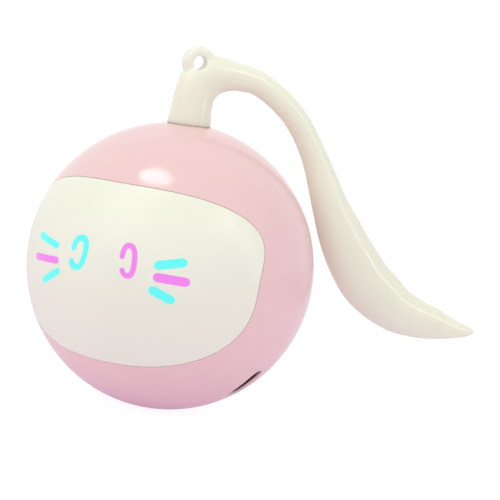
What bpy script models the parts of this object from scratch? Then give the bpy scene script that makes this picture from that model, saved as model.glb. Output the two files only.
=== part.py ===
"""Self rolling cat ball: a plastic ball with a lit cat face, a motor driven
weight inside that makes it roll, and a moulded silicone tail.

Units are metres, +Z is up. The world origin is the middle of the small flat
under the ball. Everything hangs from an empty at the ball's centre: +X is the
charging side, -Y is the face, +Z is the tail's root.
"""
import bisect
from math import acos, asin, copysign, cos, pi, radians, sin, sqrt, tan

import bmesh
import bpy
from mathutils import Matrix, Vector

for old in list(bpy.data.objects):
    bpy.data.objects.remove(old, do_unlink=True)


# Driving sizes of the ball
ball_radius = 0.0325
shell_wall = 0.0024
rest_flat_radius = 0.0045

# Clearances between pieces
seat_gap = 0.0003
seam_gap = 0.00025
window_gap = 0.00015
running_gap = 0.0001
cut_overrun = 0.001
fuse_depth = 0.0009

# Facets of the round shapes
ball_steps = 48
ball_outer_rows = 22
ball_inner_rows = 13
outline_points = 52
fine_outline_points = 720
round_steps = 24
small_round_steps = 10
ring_hole_steps = 18
corner_steps = 4
dome_rows = 3
panel_rows = 8
panel_back_rows = 5
sharp_angle = radians(35)
flat_limit = radians(0.05)

# Face opening and face panel, as they look from straight in front
face_side_margin = 0.0034
face_top_margin = 0.0132
face_bottom_margin = 0.0127
face_widest_height = 0.0018
face_upper_power = 3.1
face_lower_power = 2.55
face_thickness = 0.0015
ledge_width = 0.0016
ledge_thickness = 0.0016
ledge_root = 0.0012

# Eyes: rings that are open towards -X
left_eye_middle = (-0.00623, 0.00345)
right_eye_middle = (0.00587, 0.00369)
left_eye_half_width = 0.0017
right_eye_half_width = 0.00138
eye_half_height = 0.00317
left_eye_line = 0.0014
right_eye_line = 0.00118
left_eye_lean = radians(4.9)
right_eye_lean = radians(-4.6)
eye_power = 2.4
eye_gap_start = radians(170)
eye_gap_end = radians(221)
eye_steps = 18

# Whiskers: round ended bars, from the end by the nose to the outer end
left_whisker_line = 0.00156
right_whisker_line = 0.00198
left_upper_whisker_inner = (-0.01296, 0.00376)
left_upper_whisker_outer = (-0.01897, 0.00488)
left_middle_whisker_inner = (-0.01239, 0.00062)
left_middle_whisker_outer = (-0.01942, 0.00016)
left_lower_whisker_inner = (-0.01166, -0.00165)
left_lower_whisker_outer = (-0.01576, -0.00431)
right_upper_whisker_inner = (0.01231, 0.00372)
right_upper_whisker_outer = (0.01652, 0.00482)
right_middle_whisker_inner = (0.01249, 0.00113)
right_middle_whisker_outer = (0.01758, 0.00087)
right_lower_whisker_inner = (0.01189, -0.00177)
right_lower_whisker_outer = (0.01522, -0.00323)
cap_steps = 5

# Light board behind the face
light_board_depth = 0.0075
light_board_thickness = 0.001
light_board_end_half_height = 0.006
light_board_neck_half_width = 0.008
light_board_margin = 0.0005
face_post_inset = 0.0098
face_post_radius = 0.002
led_width = 0.002
led_height = 0.0014
led_thickness = 0.0007
led_margin = 0.0015

# Screws
screw_head_radius = 0.0015
screw_head_height = 0.0008
screw_edge_share = 0.33
screw_shank_radius = 0.0007
screw_hole_gap = 0.0003
face_screw_length = 0.0042
frame_screw_length = 0.0048
cover_screw_length = 0.0040
board_screw_length = 0.0026
switch_screw_length = 0.0034

# Weight on its axle
axle_radius = 0.001
weight_front_gap = 0.0035
weight_inner_radius = 0.006
weight_thickness = 0.0063
weight_half_angle = radians(75)
weight_steps = 20
weight_half_space = 0.0042
arm_thickness = 0.0018
arm_inset = 0.002
arm_half_angle = radians(68)
hub_radius = 0.0032
weight_screw_inset = 0.0035
weight_screw_half_spread = radians(42)

# Side plates of the drive frame
plate_inner_face = 0.0053
plate_thickness = 0.0016
plate_inset = 0.001
plate_wall_gap = 0.0006
plate_corner = 0.002
plate_window_radius = 0.0038
plate_window_margin = 0.0017
foot_reach = 0.012
foot_height = 0.0044
foot_thickness = 0.0016
foot_screw_across = 0.0097
frame_post_radius = 0.0022

# Bushes
bush_wall = 0.001
bush_flange = 0.001
bush_flange_thickness = 0.0005

# Gears
gearbox_front_gap = 0.00374
main_teeth = 36
idler_small_teeth = 12
idler_large_teeth = 30
pinion_teeth = 10
pressure_angle = radians(20)
gear_backlash = 0.0001
gear_width = 0.0022
idler_large_width = 0.0016
idler_pin_radius = 0.0007
gear_side_gap = 0.0005
gear_addendum_share = 0.9
gear_dedendum_share = 1.2
motor_shaft_radius = 0.0007

# Gearbox cover and motor
cover_thickness = 0.0016
cover_corner = 0.002
cover_margin = 0.0012
cover_post_radius = 0.0017
cover_post_angle = radians(43)
cradle_wall = 0.0012
cradle_length_share = 0.72
motor_round_radius = 0.006
motor_half_height = 0.005
motor_end_room = 0.0049
motor_cap_thickness = 0.0014
motor_cap_inset = 0.0004
terminal_size = 0.0009
terminal_spread = 0.0025

# Axle clip
clip_thickness = 0.0006
clip_radius = 0.0024
clip_groove_depth = 0.0003
clip_mouth_half_angle = radians(40)
axle_end_reach = 0.0009

# Charging socket, seen from its mouth
socket_angle = radians(45.4)
socket_side = 0.0013
socket_width = 0.0089
socket_height = 0.0032
socket_length = 0.0073
socket_wall = 0.0003
socket_recess = 0.0009
socket_tongue_height = 0.0007
socket_tongue_inset = 0.0008
socket_tongue_setback = 0.0014
socket_floor = 0.0012
socket_round_share = 0.96

# Main board, its shelf and the battery
board_thickness = 0.001
board_near = 0.0095
board_wall_gap = 0.00237
board_top_margin = 0.003
board_bottom = 0.0195
board_corner_gap = 0.0029
board_screw_drop = 0.0015
board_screw_inset = 0.002
chip_size = 0.005
chip_thickness = 0.0009
shelf_thickness = 0.0012
shelf_inset = 0.0005
shelf_margin = 0.0005
battery_thickness = 0.0066
battery_end_margin = 0.0015
battery_height = 0.021
battery_corner = 0.0012
lip_thickness = 0.0011
lip_depth_share = 0.6

# Power button and its switch
button_angle = radians(20)
button_radius = 0.003
button_recess = 0.0002
button_flange = 0.0011
button_flange_thickness = 0.0008
button_travel = 0.0005
plunger_radius = 0.0011
plunger_length = 0.0015
plunger_stand = 0.0008
switch_size = 0.006
switch_height = 0.003
switch_board_thickness = 0.001
switch_board_half_width = 0.0035
switch_post_radius = 0.0014

# Tail: it turns over from the ball's top and comes down beside it
tail_azimuth = radians(38.7)
tail_turn = radians(96.4)
tail_lift = 0.0431
tail_width = 0.0124
tail_thickness = 0.0084
tail_neck_radius = 0.003
tail_plug_radius = 0.0046
tail_plug_length = 0.0014
tail_plug_chamfer = 0.0006
tail_sides = 16
tail_steps = 30
slope_step = 0.1
ring_radius = 0.00365
ring_hole_radius = 0.00155
ring_thickness = 0.004
ring_height = 0.01385
ring_across = 0.0004
# Each row: share of the turn, of the lift, of the width, of the thickness
tail_route_shares = [
    (0.000, 0.007, 0.800, 1.100),
    (0.002, 0.081, 0.745, 1.060),
    (0.006, 0.151, 0.730, 1.000),
    (0.020, 0.216, 0.790, 0.930),
    (0.054, 0.265, 0.745, 0.860),
    (0.106, 0.290, 0.565, 0.760),
    (0.152, 0.302, 0.485, 0.680),
    (0.204, 0.307, 0.448, 0.650),
    (0.330, 0.273, 0.445, 0.650),
    (0.457, 0.216, 0.472, 0.680),
    (0.524, 0.190, 0.530, 0.730),
    (0.593, 0.170, 0.610, 0.790),
    (0.665, 0.163, 0.697, 0.860),
    (0.737, 0.176, 0.825, 0.930),
    (0.805, 0.205, 0.911, 0.980),
    (0.867, 0.255, 0.978, 1.000),
    (0.920, 0.322, 1.000, 1.000),
    (0.958, 0.414, 0.975, 0.970),
    (0.985, 0.516, 0.868, 0.890),
    (0.997, 0.632, 0.745, 0.780),
    (1.001, 0.749, 0.600, 0.630),
    (1.003, 0.867, 0.365, 0.420),
    (1.001, 0.955, 0.200, 0.240),
]


# Sizes that follow from the driving sizes
shell_inner = ball_radius - shell_wall
centre_height = sqrt(ball_radius ** 2 - rest_flat_radius ** 2)
face_inner = ball_radius - face_thickness
ledge_top = face_inner - seat_gap
ledge_low = ledge_top - ledge_thickness
face_top = ball_radius - face_top_margin
face_half_width = ball_radius - face_side_margin
face_rise = face_top - face_widest_height
face_drop = ball_radius - face_bottom_margin + face_widest_height
face_post_height = face_top - face_post_inset
light_board_front = face_inner - light_board_depth
light_board_back = light_board_front - light_board_thickness
light_board_half_height = face_post_height + face_post_radius + light_board_margin
weight_radius = light_board_back - weight_front_gap
arm_radius = weight_radius - arm_inset
weight_screw_place_radius = arm_radius - weight_screw_inset
plate_outer_face = plate_inner_face + plate_thickness
plate_half_height = weight_radius - plate_inset
plate_reach = shell_inner - plate_wall_gap
plate_back = sqrt(plate_reach ** 2 - plate_half_height ** 2 - foot_reach ** 2)
plate_window_place = plate_half_height - plate_window_radius - plate_window_margin
screw_hole_radius = screw_shank_radius + screw_hole_gap
cover_rim = cover_post_radius + cover_margin
plate_front = light_board_back - gearbox_front_gap
post_room = (cover_post_radius + gear_side_gap) * cos(cover_post_angle)
idler_modules = idler_large_teeth / 2 + gear_addendum_share
front_modules = (main_teeth + idler_small_teeth) / 2 + idler_modules * cos(cover_post_angle)
gear_module = (plate_front - cover_rim - post_room) / front_modules
main_pitch = main_teeth * gear_module / 2
idler_small_pitch = idler_small_teeth * gear_module / 2
idler_large_pitch = idler_large_teeth * gear_module / 2
pinion_pitch = pinion_teeth * gear_module / 2
idler_place = main_pitch + idler_small_pitch
motor_place = idler_place - idler_large_pitch - pinion_pitch
gear_start = plate_outer_face + seat_gap
gear_end = gear_start + gear_width
large_gear_start = gear_end + gear_side_gap + seat_gap
large_gear_end = large_gear_start + idler_large_width
cover_inner_face = large_gear_end + gear_side_gap
cover_outer_face = cover_inner_face + cover_thickness
motor_face = cover_outer_face + seat_gap
motor_back = shell_inner - motor_end_room
motor_length = motor_back - motor_face
tail_hole_radius = tail_neck_radius + seat_gap
button_flange_top = sqrt(shell_inner ** 2 - (button_radius + button_flange) ** 2) - seat_gap
button_flange_low = button_flange_top - button_flange_thickness
plunger_top = button_flange_low - seat_gap
plunger_low = plunger_top - plunger_length
switch_top = plunger_top - plunger_stand
switch_low = switch_top - switch_height
switch_board_top = switch_low - seat_gap
switch_board_low = switch_board_top - switch_board_thickness
switch_post_spread = button_radius + button_flange + switch_post_radius + seat_gap * 2
switch_board_half_length = switch_post_spread + switch_post_radius
board_front = socket_height / 2 - socket_side + seat_gap
board_back = board_front + board_thickness
shelf_front = board_back + seat_gap
shelf_back = shelf_front + shelf_thickness
battery_front = shelf_back + seat_gap
shelf_half_height = battery_height / 2 + seat_gap + lip_thickness + shelf_margin
board_screw_height = battery_height / 2 - board_screw_drop
board_top = board_screw_height + board_top_margin
board_far = sqrt((shell_inner - board_wall_gap) ** 2 - board_top ** 2)
board_corner_distance = shell_inner - board_corner_gap
shelf_reach = board_far - shelf_inset
battery_width = shelf_reach - board_near - battery_end_margin


# The ball's frame and the ways that pieces lie in it
ball_centre = bpy.data.objects.new("ball_centre", None)
bpy.context.scene.collection.objects.link(ball_centre)
ball_centre.location = (0, 0, centre_height)

right = Vector((1, 0, 0))
back = Vector((0, 1, 0))
up = Vector((0, 0, 1))


def lying(across, along, at=(0, 0, 0)):
    """Place a piece with its own X along across and its own Z along along."""
    local_z = Vector(along).normalized()
    local_x = Vector(across).normalized()
    local_y = local_z.cross(local_x)
    matrix = Matrix((local_x, local_y, local_z)).transposed().to_4x4()
    matrix.translation = Vector(at)
    return matrix


upright = lying(right, up)
along_axle = lying(back, right)
facing_front = lying(right, -back)
socket_direction = Vector((sin(socket_angle), 0, -cos(socket_angle)))
socket_across = Vector((cos(socket_angle), 0, sin(socket_angle)))
button_direction = Vector((-sin(button_angle), 0, -cos(button_angle)))
tail_outward = Vector((cos(tail_azimuth), sin(tail_azimuth), 0))


def finish(name, colour, roughness, metallic=0.0, alpha=1.0):
    """One Principled material."""
    material = bpy.data.materials.new(name)
    material.use_nodes = True
    shader = material.node_tree.nodes["Principled BSDF"]
    shader.inputs["Base Color"].default_value = (*colour, 1)
    shader.inputs["Roughness"].default_value = roughness
    shader.inputs["Metallic"].default_value = metallic
    shader.inputs["Alpha"].default_value = alpha
    return material


pink_plastic = finish("pink_plastic", (0.80, 0.56, 0.62), 0.25)
ivory_plastic = finish("ivory_plastic", (0.90, 0.88, 0.78), 0.22)
ivory_silicone = finish("ivory_silicone", (0.86, 0.82, 0.66), 0.45)
cyan_light = finish("cyan_light", (0.16, 1.0, 0.96), 0.3)
pink_light = finish("pink_light", (0.97, 0.26, 0.95), 0.3)
white_plastic = finish("white_plastic", (0.85, 0.85, 0.83), 0.4)
gear_plastic = finish("gear_plastic", (0.92, 0.90, 0.84), 0.35)
black_plastic = finish("black_plastic", (0.03, 0.03, 0.035), 0.4)
green_board = finish("green_board", (0.04, 0.23, 0.10), 0.35)
steel = finish("steel", (0.60, 0.61, 0.62), 0.28, 1.0)
brass = finish("brass", (0.72, 0.53, 0.23), 0.3, 1.0)
battery_foil = finish("battery_foil", (0.56, 0.58, 0.62), 0.4, 0.6)


def link(name, mesh_builder, place):
    """Turn a bmesh into an object that hangs from the ball's centre."""
    bmesh.ops.connect_verts_nonplanar(mesh_builder, angle_limit=flat_limit, faces=mesh_builder.faces)
    bmesh.ops.recalc_face_normals(mesh_builder, faces=mesh_builder.faces)
    mesh = bpy.data.meshes.new(name)
    mesh_builder.to_mesh(mesh)
    mesh_builder.free()
    mesh.shade_smooth()
    mesh.set_sharp_from_angle(angle=sharp_angle)
    piece = bpy.data.objects.new(name, mesh)
    bpy.context.scene.collection.objects.link(piece)
    piece.parent = ball_centre
    piece.matrix_basis = place
    return piece


def add_piece(name, mesh_builder, material, place=upright):
    """A node of the ball with its own material."""
    piece = link(name, mesh_builder, place)
    piece.data.materials.append(material)
    return piece


def add_tool(name, mesh_builder, place=upright):
    """A hidden shape that cuts or adds to a piece."""
    tool = link(name, mesh_builder, place)
    tool.hide_render = True
    tool.display_type = "WIRE"
    return tool


def shape_with(piece, operation, mesh_builder, place=upright):
    """Cut from or fuse to a piece with one hidden tool."""
    tool = add_tool(piece.name + "_" + operation.lower(), mesh_builder, place)
    modifier = piece.modifiers.new(tool.name, "BOOLEAN")
    modifier.operation = operation
    modifier.solver = "EXACT"
    modifier.object = tool


def cut(piece, mesh_builder, place=upright):
    shape_with(piece, "DIFFERENCE", mesh_builder, place)


def fuse(piece, mesh_builder, place=upright):
    shape_with(piece, "UNION", mesh_builder, place)


def prism(outline, low, high, builder=None):
    """Extrude an outline of (x, y) points from z = low to z = high."""
    builder = builder or bmesh.new()
    bottom = [builder.verts.new((x, y, low)) for x, y in outline]
    top = [builder.verts.new((x, y, high)) for x, y in outline]
    builder.faces.new(list(reversed(bottom)))
    builder.faces.new(top)
    count = len(outline)
    for i in range(count):
        j = (i + 1) % count
        builder.faces.new((bottom[i], bottom[j], top[j], top[i]))
    return builder


def turned(profile, steps=round_steps, builder=None):
    """Turn (radius, z) points round Z. A profile that starts and ends on the axis
    is closed there, and any other one is joined end to end."""
    builder = builder or bmesh.new()
    rings = []
    for radius, height in profile:
        if radius == 0:
            rings.append([builder.verts.new((0, 0, height))])
            continue
        turns = [2 * pi * i / steps for i in range(steps)]
        rings.append([builder.verts.new((radius * cos(t), radius * sin(t), height)) for t in turns])
    on_axis = profile[0][0] == 0 and profile[-1][0] == 0
    pairs = list(zip(rings, rings[1:]))
    if not on_axis:
        pairs.append((rings[-1], rings[0]))
    for lower, upper in pairs:
        join_rings(builder, lower, upper)
    return builder


def join_rings(builder, lower, upper):
    """Faces between two rings, either of which may be a single point."""
    steps = max(len(lower), len(upper))
    for i in range(steps):
        j = (i + 1) % steps
        corners = [lower[i % len(lower)], lower[j % len(lower)], upper[j % len(upper)], upper[i % len(upper)]]
        unique = []
        for corner in corners:
            if corner not in unique:
                unique.append(corner)
        if len(unique) > 2:
            builder.faces.new(unique)


def rod(radius, low, high, steps=round_steps, builder=None):
    """A plain round bar."""
    return turned([(0, low), (radius, low), (radius, high), (0, high)], steps, builder)


def rectangle(half_width, half_height, middle=(0, 0)):
    x, y = middle
    return [
        (x - half_width, y - half_height),
        (x + half_width, y - half_height),
        (x + half_width, y + half_height),
        (x - half_width, y + half_height),
    ]


def rounded(low_x, low_y, high_x, high_y, radius, steps=corner_steps):
    """A rectangle with round corners."""
    points = []
    corners = [(high_x, high_y, 0), (low_x, high_y, 1), (low_x, low_y, 2), (high_x, low_y, 3)]
    for x, y, quarter in corners:
        middle_x = x - copysign(radius, x - (low_x + high_x) / 2)
        middle_y = y - copysign(radius, y - (low_y + high_y) / 2)
        for k in range(steps + 1):
            turn = (quarter + k / steps) * pi / 2
            points.append((middle_x + radius * cos(turn), middle_y + radius * sin(turn)))
    return points


def shifted(outline, x, y):
    return [(x + px, y + py) for px, py in outline]


def circle(radius, steps=round_steps):
    return [(radius * cos(2 * pi * i / steps), radius * sin(2 * pi * i / steps)) for i in range(steps)]


# The face outline, as directions from the ball's centre

def on_ball(x, z):
    """The unit direction of a point of the ball that is seen at x, z from the front."""
    depth = sqrt(max(ball_radius ** 2 - x * x - z * z, 0))
    return Vector((x, -depth, z)).normalized()


def evenly_spaced(directions, count):
    """Pick points at equal steps round a closed run of directions."""
    travelled = [0.0]
    closed = directions + directions[:1]
    for a, b in zip(closed, closed[1:]):
        travelled.append(travelled[-1] + (b - a).length)
    picked = []
    for i in range(count):
        goal = travelled[-1] * i / count
        k = min(bisect.bisect_right(travelled, goal), len(directions)) - 1
        part = (goal - travelled[k]) / (travelled[k + 1] - travelled[k])
        picked.append(closed[k].lerp(closed[k + 1], part).normalized())
    return picked


def face_outline(grow=0.0):
    """The face's edge, moved outwards over the ball by grow."""
    fine = []
    for i in range(fine_outline_points):
        turn = 2 * pi * i / fine_outline_points
        power = face_upper_power if sin(turn) > 0 else face_lower_power
        reach = face_rise if sin(turn) > 0 else face_drop
        x = face_half_width * copysign(abs(cos(turn)) ** (2 / power), cos(turn))
        z = face_widest_height + reach * copysign(abs(sin(turn)) ** (2 / power), sin(turn))
        fine.append(on_ball(x, z))
    points = evenly_spaced(fine, outline_points)
    return grown(points, grow)


def grown(points, grow):
    """Move a closed run of directions outwards over the ball."""
    moved = []
    turn = grow / ball_radius
    for i, point in enumerate(points):
        along = points[(i + 1) % len(points)] - points[i - 1]
        outward = point.cross(along).normalized()
        moved.append((point * cos(turn) - outward * sin(turn)).normalized())
    return moved


def between(a, b, part):
    """A direction part of the way along the great circle from a to b."""
    angle = a.angle(b)
    return (a * sin((1 - part) * angle) + b * sin(part * angle)) / sin(angle)


def cap_rows(builder, edge, centre, radius, rows):
    """A domed surface inside an edge of directions; returns its edge ring."""
    outer_ring = [builder.verts.new(d * radius) for d in edge]
    ring = outer_ring
    for row in range(1, rows):
        inner = [builder.verts.new(between(centre, d, 1 - row / rows) * radius) for d in edge]
        join_rings(builder, ring, inner)
        ring = inner
    join_rings(builder, ring, [builder.verts.new(centre * radius)])
    return outer_ring


def domed_plate(edge, centre, low, high, low_rows, high_rows):
    """A plate that follows the ball between two radii."""
    builder = bmesh.new()
    bottom = cap_rows(builder, edge, centre, low, low_rows)
    top = cap_rows(builder, edge, centre, high, high_rows)
    join_rings(builder, bottom, top)
    return builder


face_middle = on_ball(0, face_widest_height)


# Marks on the face, as outlines seen from the front

def round_end(start, end):
    """Points of the half circle that closes a mark from one side of its line to the other."""
    middle = (start + end) / 2
    side = start - middle
    ahead = Vector((-side.y, side.x))
    turns = [pi * k / cap_steps for k in range(1, cap_steps)]
    return [middle + side * cos(t) + ahead * sin(t) for t in turns]


def ring_mark(middle, half_width, line, lean, grow):
    """An open ring: its outer edge, a round end, its inner edge, a round end."""
    half_line = line / 2 + grow
    rim, hole = [], []
    start = eye_gap_end - 2 * pi
    for i in range(eye_steps + 1):
        turn = start + (eye_gap_start - start) * i / eye_steps
        across = copysign(abs(cos(turn)) ** (2 / eye_power), cos(turn))
        along = copysign(abs(sin(turn)) ** (2 / eye_power), sin(turn))
        for edge, offset in ((rim, half_line), (hole, -half_line)):
            height = (eye_half_height + offset) * along
            reach = (half_width + offset) * across + height * tan(lean)
            edge.append(Vector(middle) + Vector((reach, height)))
    return rim + round_end(rim[-1], hole[-1]) + hole[::-1] + round_end(hole[0], rim[0])


def bar_mark(inner, outer, line, grow):
    """A bar with round ends."""
    inner, outer = Vector(inner), Vector(outer)
    slope = (outer - inner).normalized()
    side = Vector((slope.y, -slope.x)) * (line / 2 + grow)
    points = [inner + side, outer + side] + round_end(outer + side, outer - side)
    return points + [outer - side, inner - side] + round_end(inner - side, inner + side)


def face_marks(grow):
    """Every mark: its name, finish, middle and outline."""
    eyes = [
        ("left", cyan_light, left_eye_middle, left_eye_half_width, left_eye_line, left_eye_lean),
        ("right", pink_light, right_eye_middle, right_eye_half_width, right_eye_line, right_eye_lean),
    ]
    whiskers = [
        ("left_upper", cyan_light, left_upper_whisker_inner, left_upper_whisker_outer, left_whisker_line),
        ("left_middle", pink_light, left_middle_whisker_inner, left_middle_whisker_outer, left_whisker_line),
        ("left_lower", cyan_light, left_lower_whisker_inner, left_lower_whisker_outer, left_whisker_line),
        ("right_upper", cyan_light, right_upper_whisker_inner, right_upper_whisker_outer, right_whisker_line),
        ("right_middle", pink_light, right_middle_whisker_inner, right_middle_whisker_outer,
         right_whisker_line),
        ("right_lower", cyan_light, right_lower_whisker_inner, right_lower_whisker_outer, right_whisker_line),
    ]
    marks = []
    for side, colour, middle, half_width, line, lean in eyes:
        outline = paired(ring_mark(middle, half_width, line, lean, grow))
        marks.append((f"{side}_eye_window", colour, middle, outline))
    for place, colour, inner, outer, line in whiskers:
        middle = tuple((Vector(inner) + Vector(outer)) / 2)
        outline = paired(bar_mark(inner, outer, line, grow))
        marks.append((f"{place}_whisker_window", colour, middle, outline))
    return marks


def paired(points):
    """Start a mark's outline halfway round one end, so that its sides face each other pair by pair."""
    half_cap = (cap_steps - 1) // 2
    return points[-half_cap:] + points[:-half_cap]


def screw(name, length, place):
    """A small pan head screw: the head sits at z below zero, the shank points along +Z."""
    edge = screw_head_height * screw_edge_share
    profile = [
        (0, -screw_head_height),
        (screw_head_radius - edge, -screw_head_height),
        (screw_head_radius, -screw_head_height + edge),
        (screw_head_radius, 0),
        (screw_shank_radius, 0),
        (screw_shank_radius, length - screw_shank_radius),
        (0, length),
    ]
    return add_piece(name, turned(profile, small_round_steps), steel, place)


def screw_hole(x, y, low, high, builder=None):
    """A cutter for a screw's shank, from z = low to z = high."""
    return prism(shifted(circle(screw_hole_radius, small_round_steps), x, y), low, high, builder)


# Outer shell

def arc_profile(radius, start, end, rows):
    """Points of a ball's side, from one angle above its middle to another."""
    angles = [start + (end - start) * i / rows for i in range(rows + 1)]
    return [(radius * cos(a), radius * sin(a)) for a in angles]


def wall_post(x, y, radius, low, place_distance, builder):
    """A round post along Z from a flat end at z = low out into the ball's wall."""
    flat = [(x + px, y + py) for px, py in circle(radius, small_round_steps)]
    bottom = [builder.verts.new((px, py, low)) for px, py in flat]
    top = [builder.verts.new((px, py, sqrt(place_distance ** 2 - px * px - py * py))) for px, py in flat]
    builder.faces.new(bottom)
    join_rings(builder, bottom, top)
    join_rings(builder, top, [builder.verts.new((x, y, sqrt(place_distance ** 2 - x * x - y * y)))])
    return builder


frame_post_places = [(sx * foot_screw_across, sz * (plate_half_height - foot_height / 2))
                     for sx in (-1, 1) for sz in (-1, 1)]
switch_post_places = [(0, -switch_post_spread), (0, switch_post_spread)]
wall_depth = shell_inner + fuse_depth
backwards = lying(-right, back)
button_place = lying(-back.cross(button_direction), button_direction)
socket_place = lying(socket_across, socket_direction, -back * socket_side)


def socket_outline(grow):
    """The charging socket's mouth, seen from outside, or the slot around it."""
    half_width = socket_width / 2 + grow
    half_height = socket_height / 2 + grow
    return rounded(-half_width, -half_height, half_width, half_height, half_height * socket_round_share)


def outer_shell():
    outer_top = acos(tail_hole_radius / ball_radius)
    inner_top = acos(tail_hole_radius / shell_inner)
    flat_edge = -acos(rest_flat_radius / ball_radius)
    profile = arc_profile(shell_inner, -pi / 2, inner_top, ball_inner_rows)
    profile[0] = (0, -shell_inner)
    profile += arc_profile(ball_radius, outer_top, flat_edge, ball_outer_rows)
    profile.append((0, -centre_height))
    shell = add_piece("outer_shell", turned(profile, ball_steps), pink_plastic)

    posts = bmesh.new()
    for x, z in frame_post_places:
        wall_post(-x, z, frame_post_radius, plate_back + seat_gap, wall_depth, posts)
    fuse(shell, posts, backwards)
    posts = bmesh.new()
    for x, y in switch_post_places:
        wall_post(x, y, switch_post_radius, switch_low, wall_depth, posts)
    fuse(shell, posts, button_place)

    reach = ball_radius + cut_overrun
    rows = panel_back_rows
    fuse(shell, domed_plate(face_outline(ledge_root), face_middle, ledge_low, wall_depth, rows, rows))
    cut(shell, domed_plate(face_outline(), face_middle, ledge_top, reach, rows, rows))
    cut(shell, domed_plate(face_outline(-ledge_width), face_middle, ball_radius / 2, wall_depth, 1, rows))

    holes = bmesh.new()
    for x, z in frame_post_places:
        screw_hole(-x, z, plate_back - cut_overrun,
                   plate_back + frame_screw_length - foot_thickness + seat_gap, holes)
    cut(shell, holes, backwards)
    holes = bmesh.new()
    for x, y in switch_post_places:
        screw_hole(x, y, switch_low - cut_overrun,
                   switch_low + switch_screw_length - switch_board_thickness, holes)
    cut(shell, holes, button_place)

    slot_low = shell_inner - cut_overrun * 2
    cut(shell, prism(socket_outline(seat_gap), slot_low, reach), socket_place)
    button_hole = circle(button_radius + seat_gap)
    cut(shell, prism(button_hole, shell_inner - cut_overrun, reach), button_place)
    return shell


outer_shell()


# Face panel and its light windows

def face_panel():
    edge = face_outline(-seam_gap)
    panel = add_piece(
        "face_panel",
        domed_plate(edge, face_middle, face_inner, ball_radius, panel_back_rows, panel_rows),
        ivory_plastic,
    )
    posts = bmesh.new()
    holes = bmesh.new()
    for z in (-face_post_height, face_post_height):
        wall_post(0, z, face_post_radius, light_board_front + seat_gap, face_inner + fuse_depth, posts)
        screw_hole(0, z, light_board_front - cut_overrun,
                   light_board_back + face_screw_length + seat_gap, holes)
    fuse(panel, posts, facing_front)
    cut(panel, holes, facing_front)
    openings = bmesh.new()
    for name, colour, middle, outline in face_marks(window_gap):
        add_mark(openings, outline, ball_radius - face_thickness - cut_overrun, ball_radius + cut_overrun)
    cut(panel, openings)
    for name, colour, middle, outline in face_marks(0.0):
        window = bmesh.new()
        add_mark(window, outline, face_inner, ball_radius)
        add_piece(name, window, colour)


def add_mark(builder, outline, low, high):
    """Carry a mark's outline through the panel towards the ball's centre."""
    directions = [on_ball(x, z) for x, z in outline]
    bottom = [builder.verts.new(d * low) for d in directions]
    top = [builder.verts.new(d * high) for d in directions]
    join_rings(builder, bottom, top)
    count = len(directions)
    for ring in (bottom, top):
        for i in range(count // 2 - 1):
            far = count - 1 - i
            builder.faces.new((ring[i], ring[i + 1], ring[far - 1], ring[far]))


face_panel()


# Light board and its lamps

def light_board():
    """The lamps sit where the windows' light wells, which point at the ball's centre, meet the board."""
    lamps = []
    for name, colour, (x, z), outline in face_marks(0.0):
        direction = on_ball(x, z)
        at = direction * (light_board_front + seat_gap) / -direction.y
        lamps.append((name.replace("window", "led"), at))
    end, neck = max(at.x for name, at in lamps) + led_width / 2 + led_margin, light_board_neck_half_width
    low, high = light_board_end_half_height, light_board_half_height
    outline = [(end, -low), (end, low), (neck, high), (-neck, high),
               (-end, low), (-end, -low), (-neck, -high), (neck, -high)]
    board = prism(outline, light_board_back, light_board_front)
    board = add_piece("light_board", board, green_board, facing_front)
    holes = bmesh.new()
    for z in (-face_post_height, face_post_height):
        screw_hole(0, z, light_board_back - cut_overrun, light_board_front + cut_overrun, holes)
        place = lying(right, -back, up * z - back * (light_board_back - seat_gap))
        screw("light_board_screw_lower" if z < 0 else "light_board_screw_upper", face_screw_length, place)
    cut(board, holes, facing_front)
    lamp = rectangle(led_width / 2, led_height / 2)
    for name, at in lamps:
        add_piece(name, prism(lamp, 0, led_thickness), ivory_plastic, lying(right, -back, at))


light_board()


# Side plates of the drive frame

bush_outer = axle_radius + running_gap + bush_wall
frame_post_height = plate_half_height - foot_height / 2


def side_plate(name, sign):
    """A plate square to the axle, with two feet that are screwed to the shell's back wall."""
    low, high = sorted((sign * plate_inner_face, sign * plate_outer_face))
    outline = rounded(-plate_front, -plate_half_height, plate_back, plate_half_height, plate_corner)
    plate = add_piece(name, prism(outline, low, high), white_plastic, along_axle)
    feet = bmesh.new()
    foot_low, foot_high = sorted((sign * (plate_inner_face + plate_thickness / 2), sign * foot_reach))
    holes = bmesh.new()
    for side in (-1, 1):
        foot = rectangle(foot_thickness / 2, foot_height / 2,
                         (plate_back - foot_thickness / 2, side * frame_post_height))
        prism(foot, foot_low, foot_high, feet)
        window = shifted(circle(plate_window_radius), 0, side * plate_window_place)
        prism(window, low - cut_overrun, high + cut_overrun, holes)
    fuse(plate, feet, along_axle)
    cut(plate, holes, along_axle)
    screw_holes = bmesh.new()
    for side in (-1, 1):
        across, height = sign * foot_screw_across, side * frame_post_height
        screw_hole(-across, height, plate_back - foot_thickness - cut_overrun,
                   plate_back + cut_overrun, screw_holes)
        at = (across, plate_back - foot_thickness - seat_gap, height)
        level = "lower" if side < 0 else "upper"
        screw(f"{name}_screw_{level}", frame_screw_length, lying(right, back, at))
    cut(plate, screw_holes, backwards)
    return plate


def bush_hole(plate, sign):
    low, high = sorted((sign * plate_inner_face, sign * plate_outer_face))
    cut(plate, rod(bush_outer + seat_gap, low - cut_overrun, high + cut_overrun), along_axle)


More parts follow.
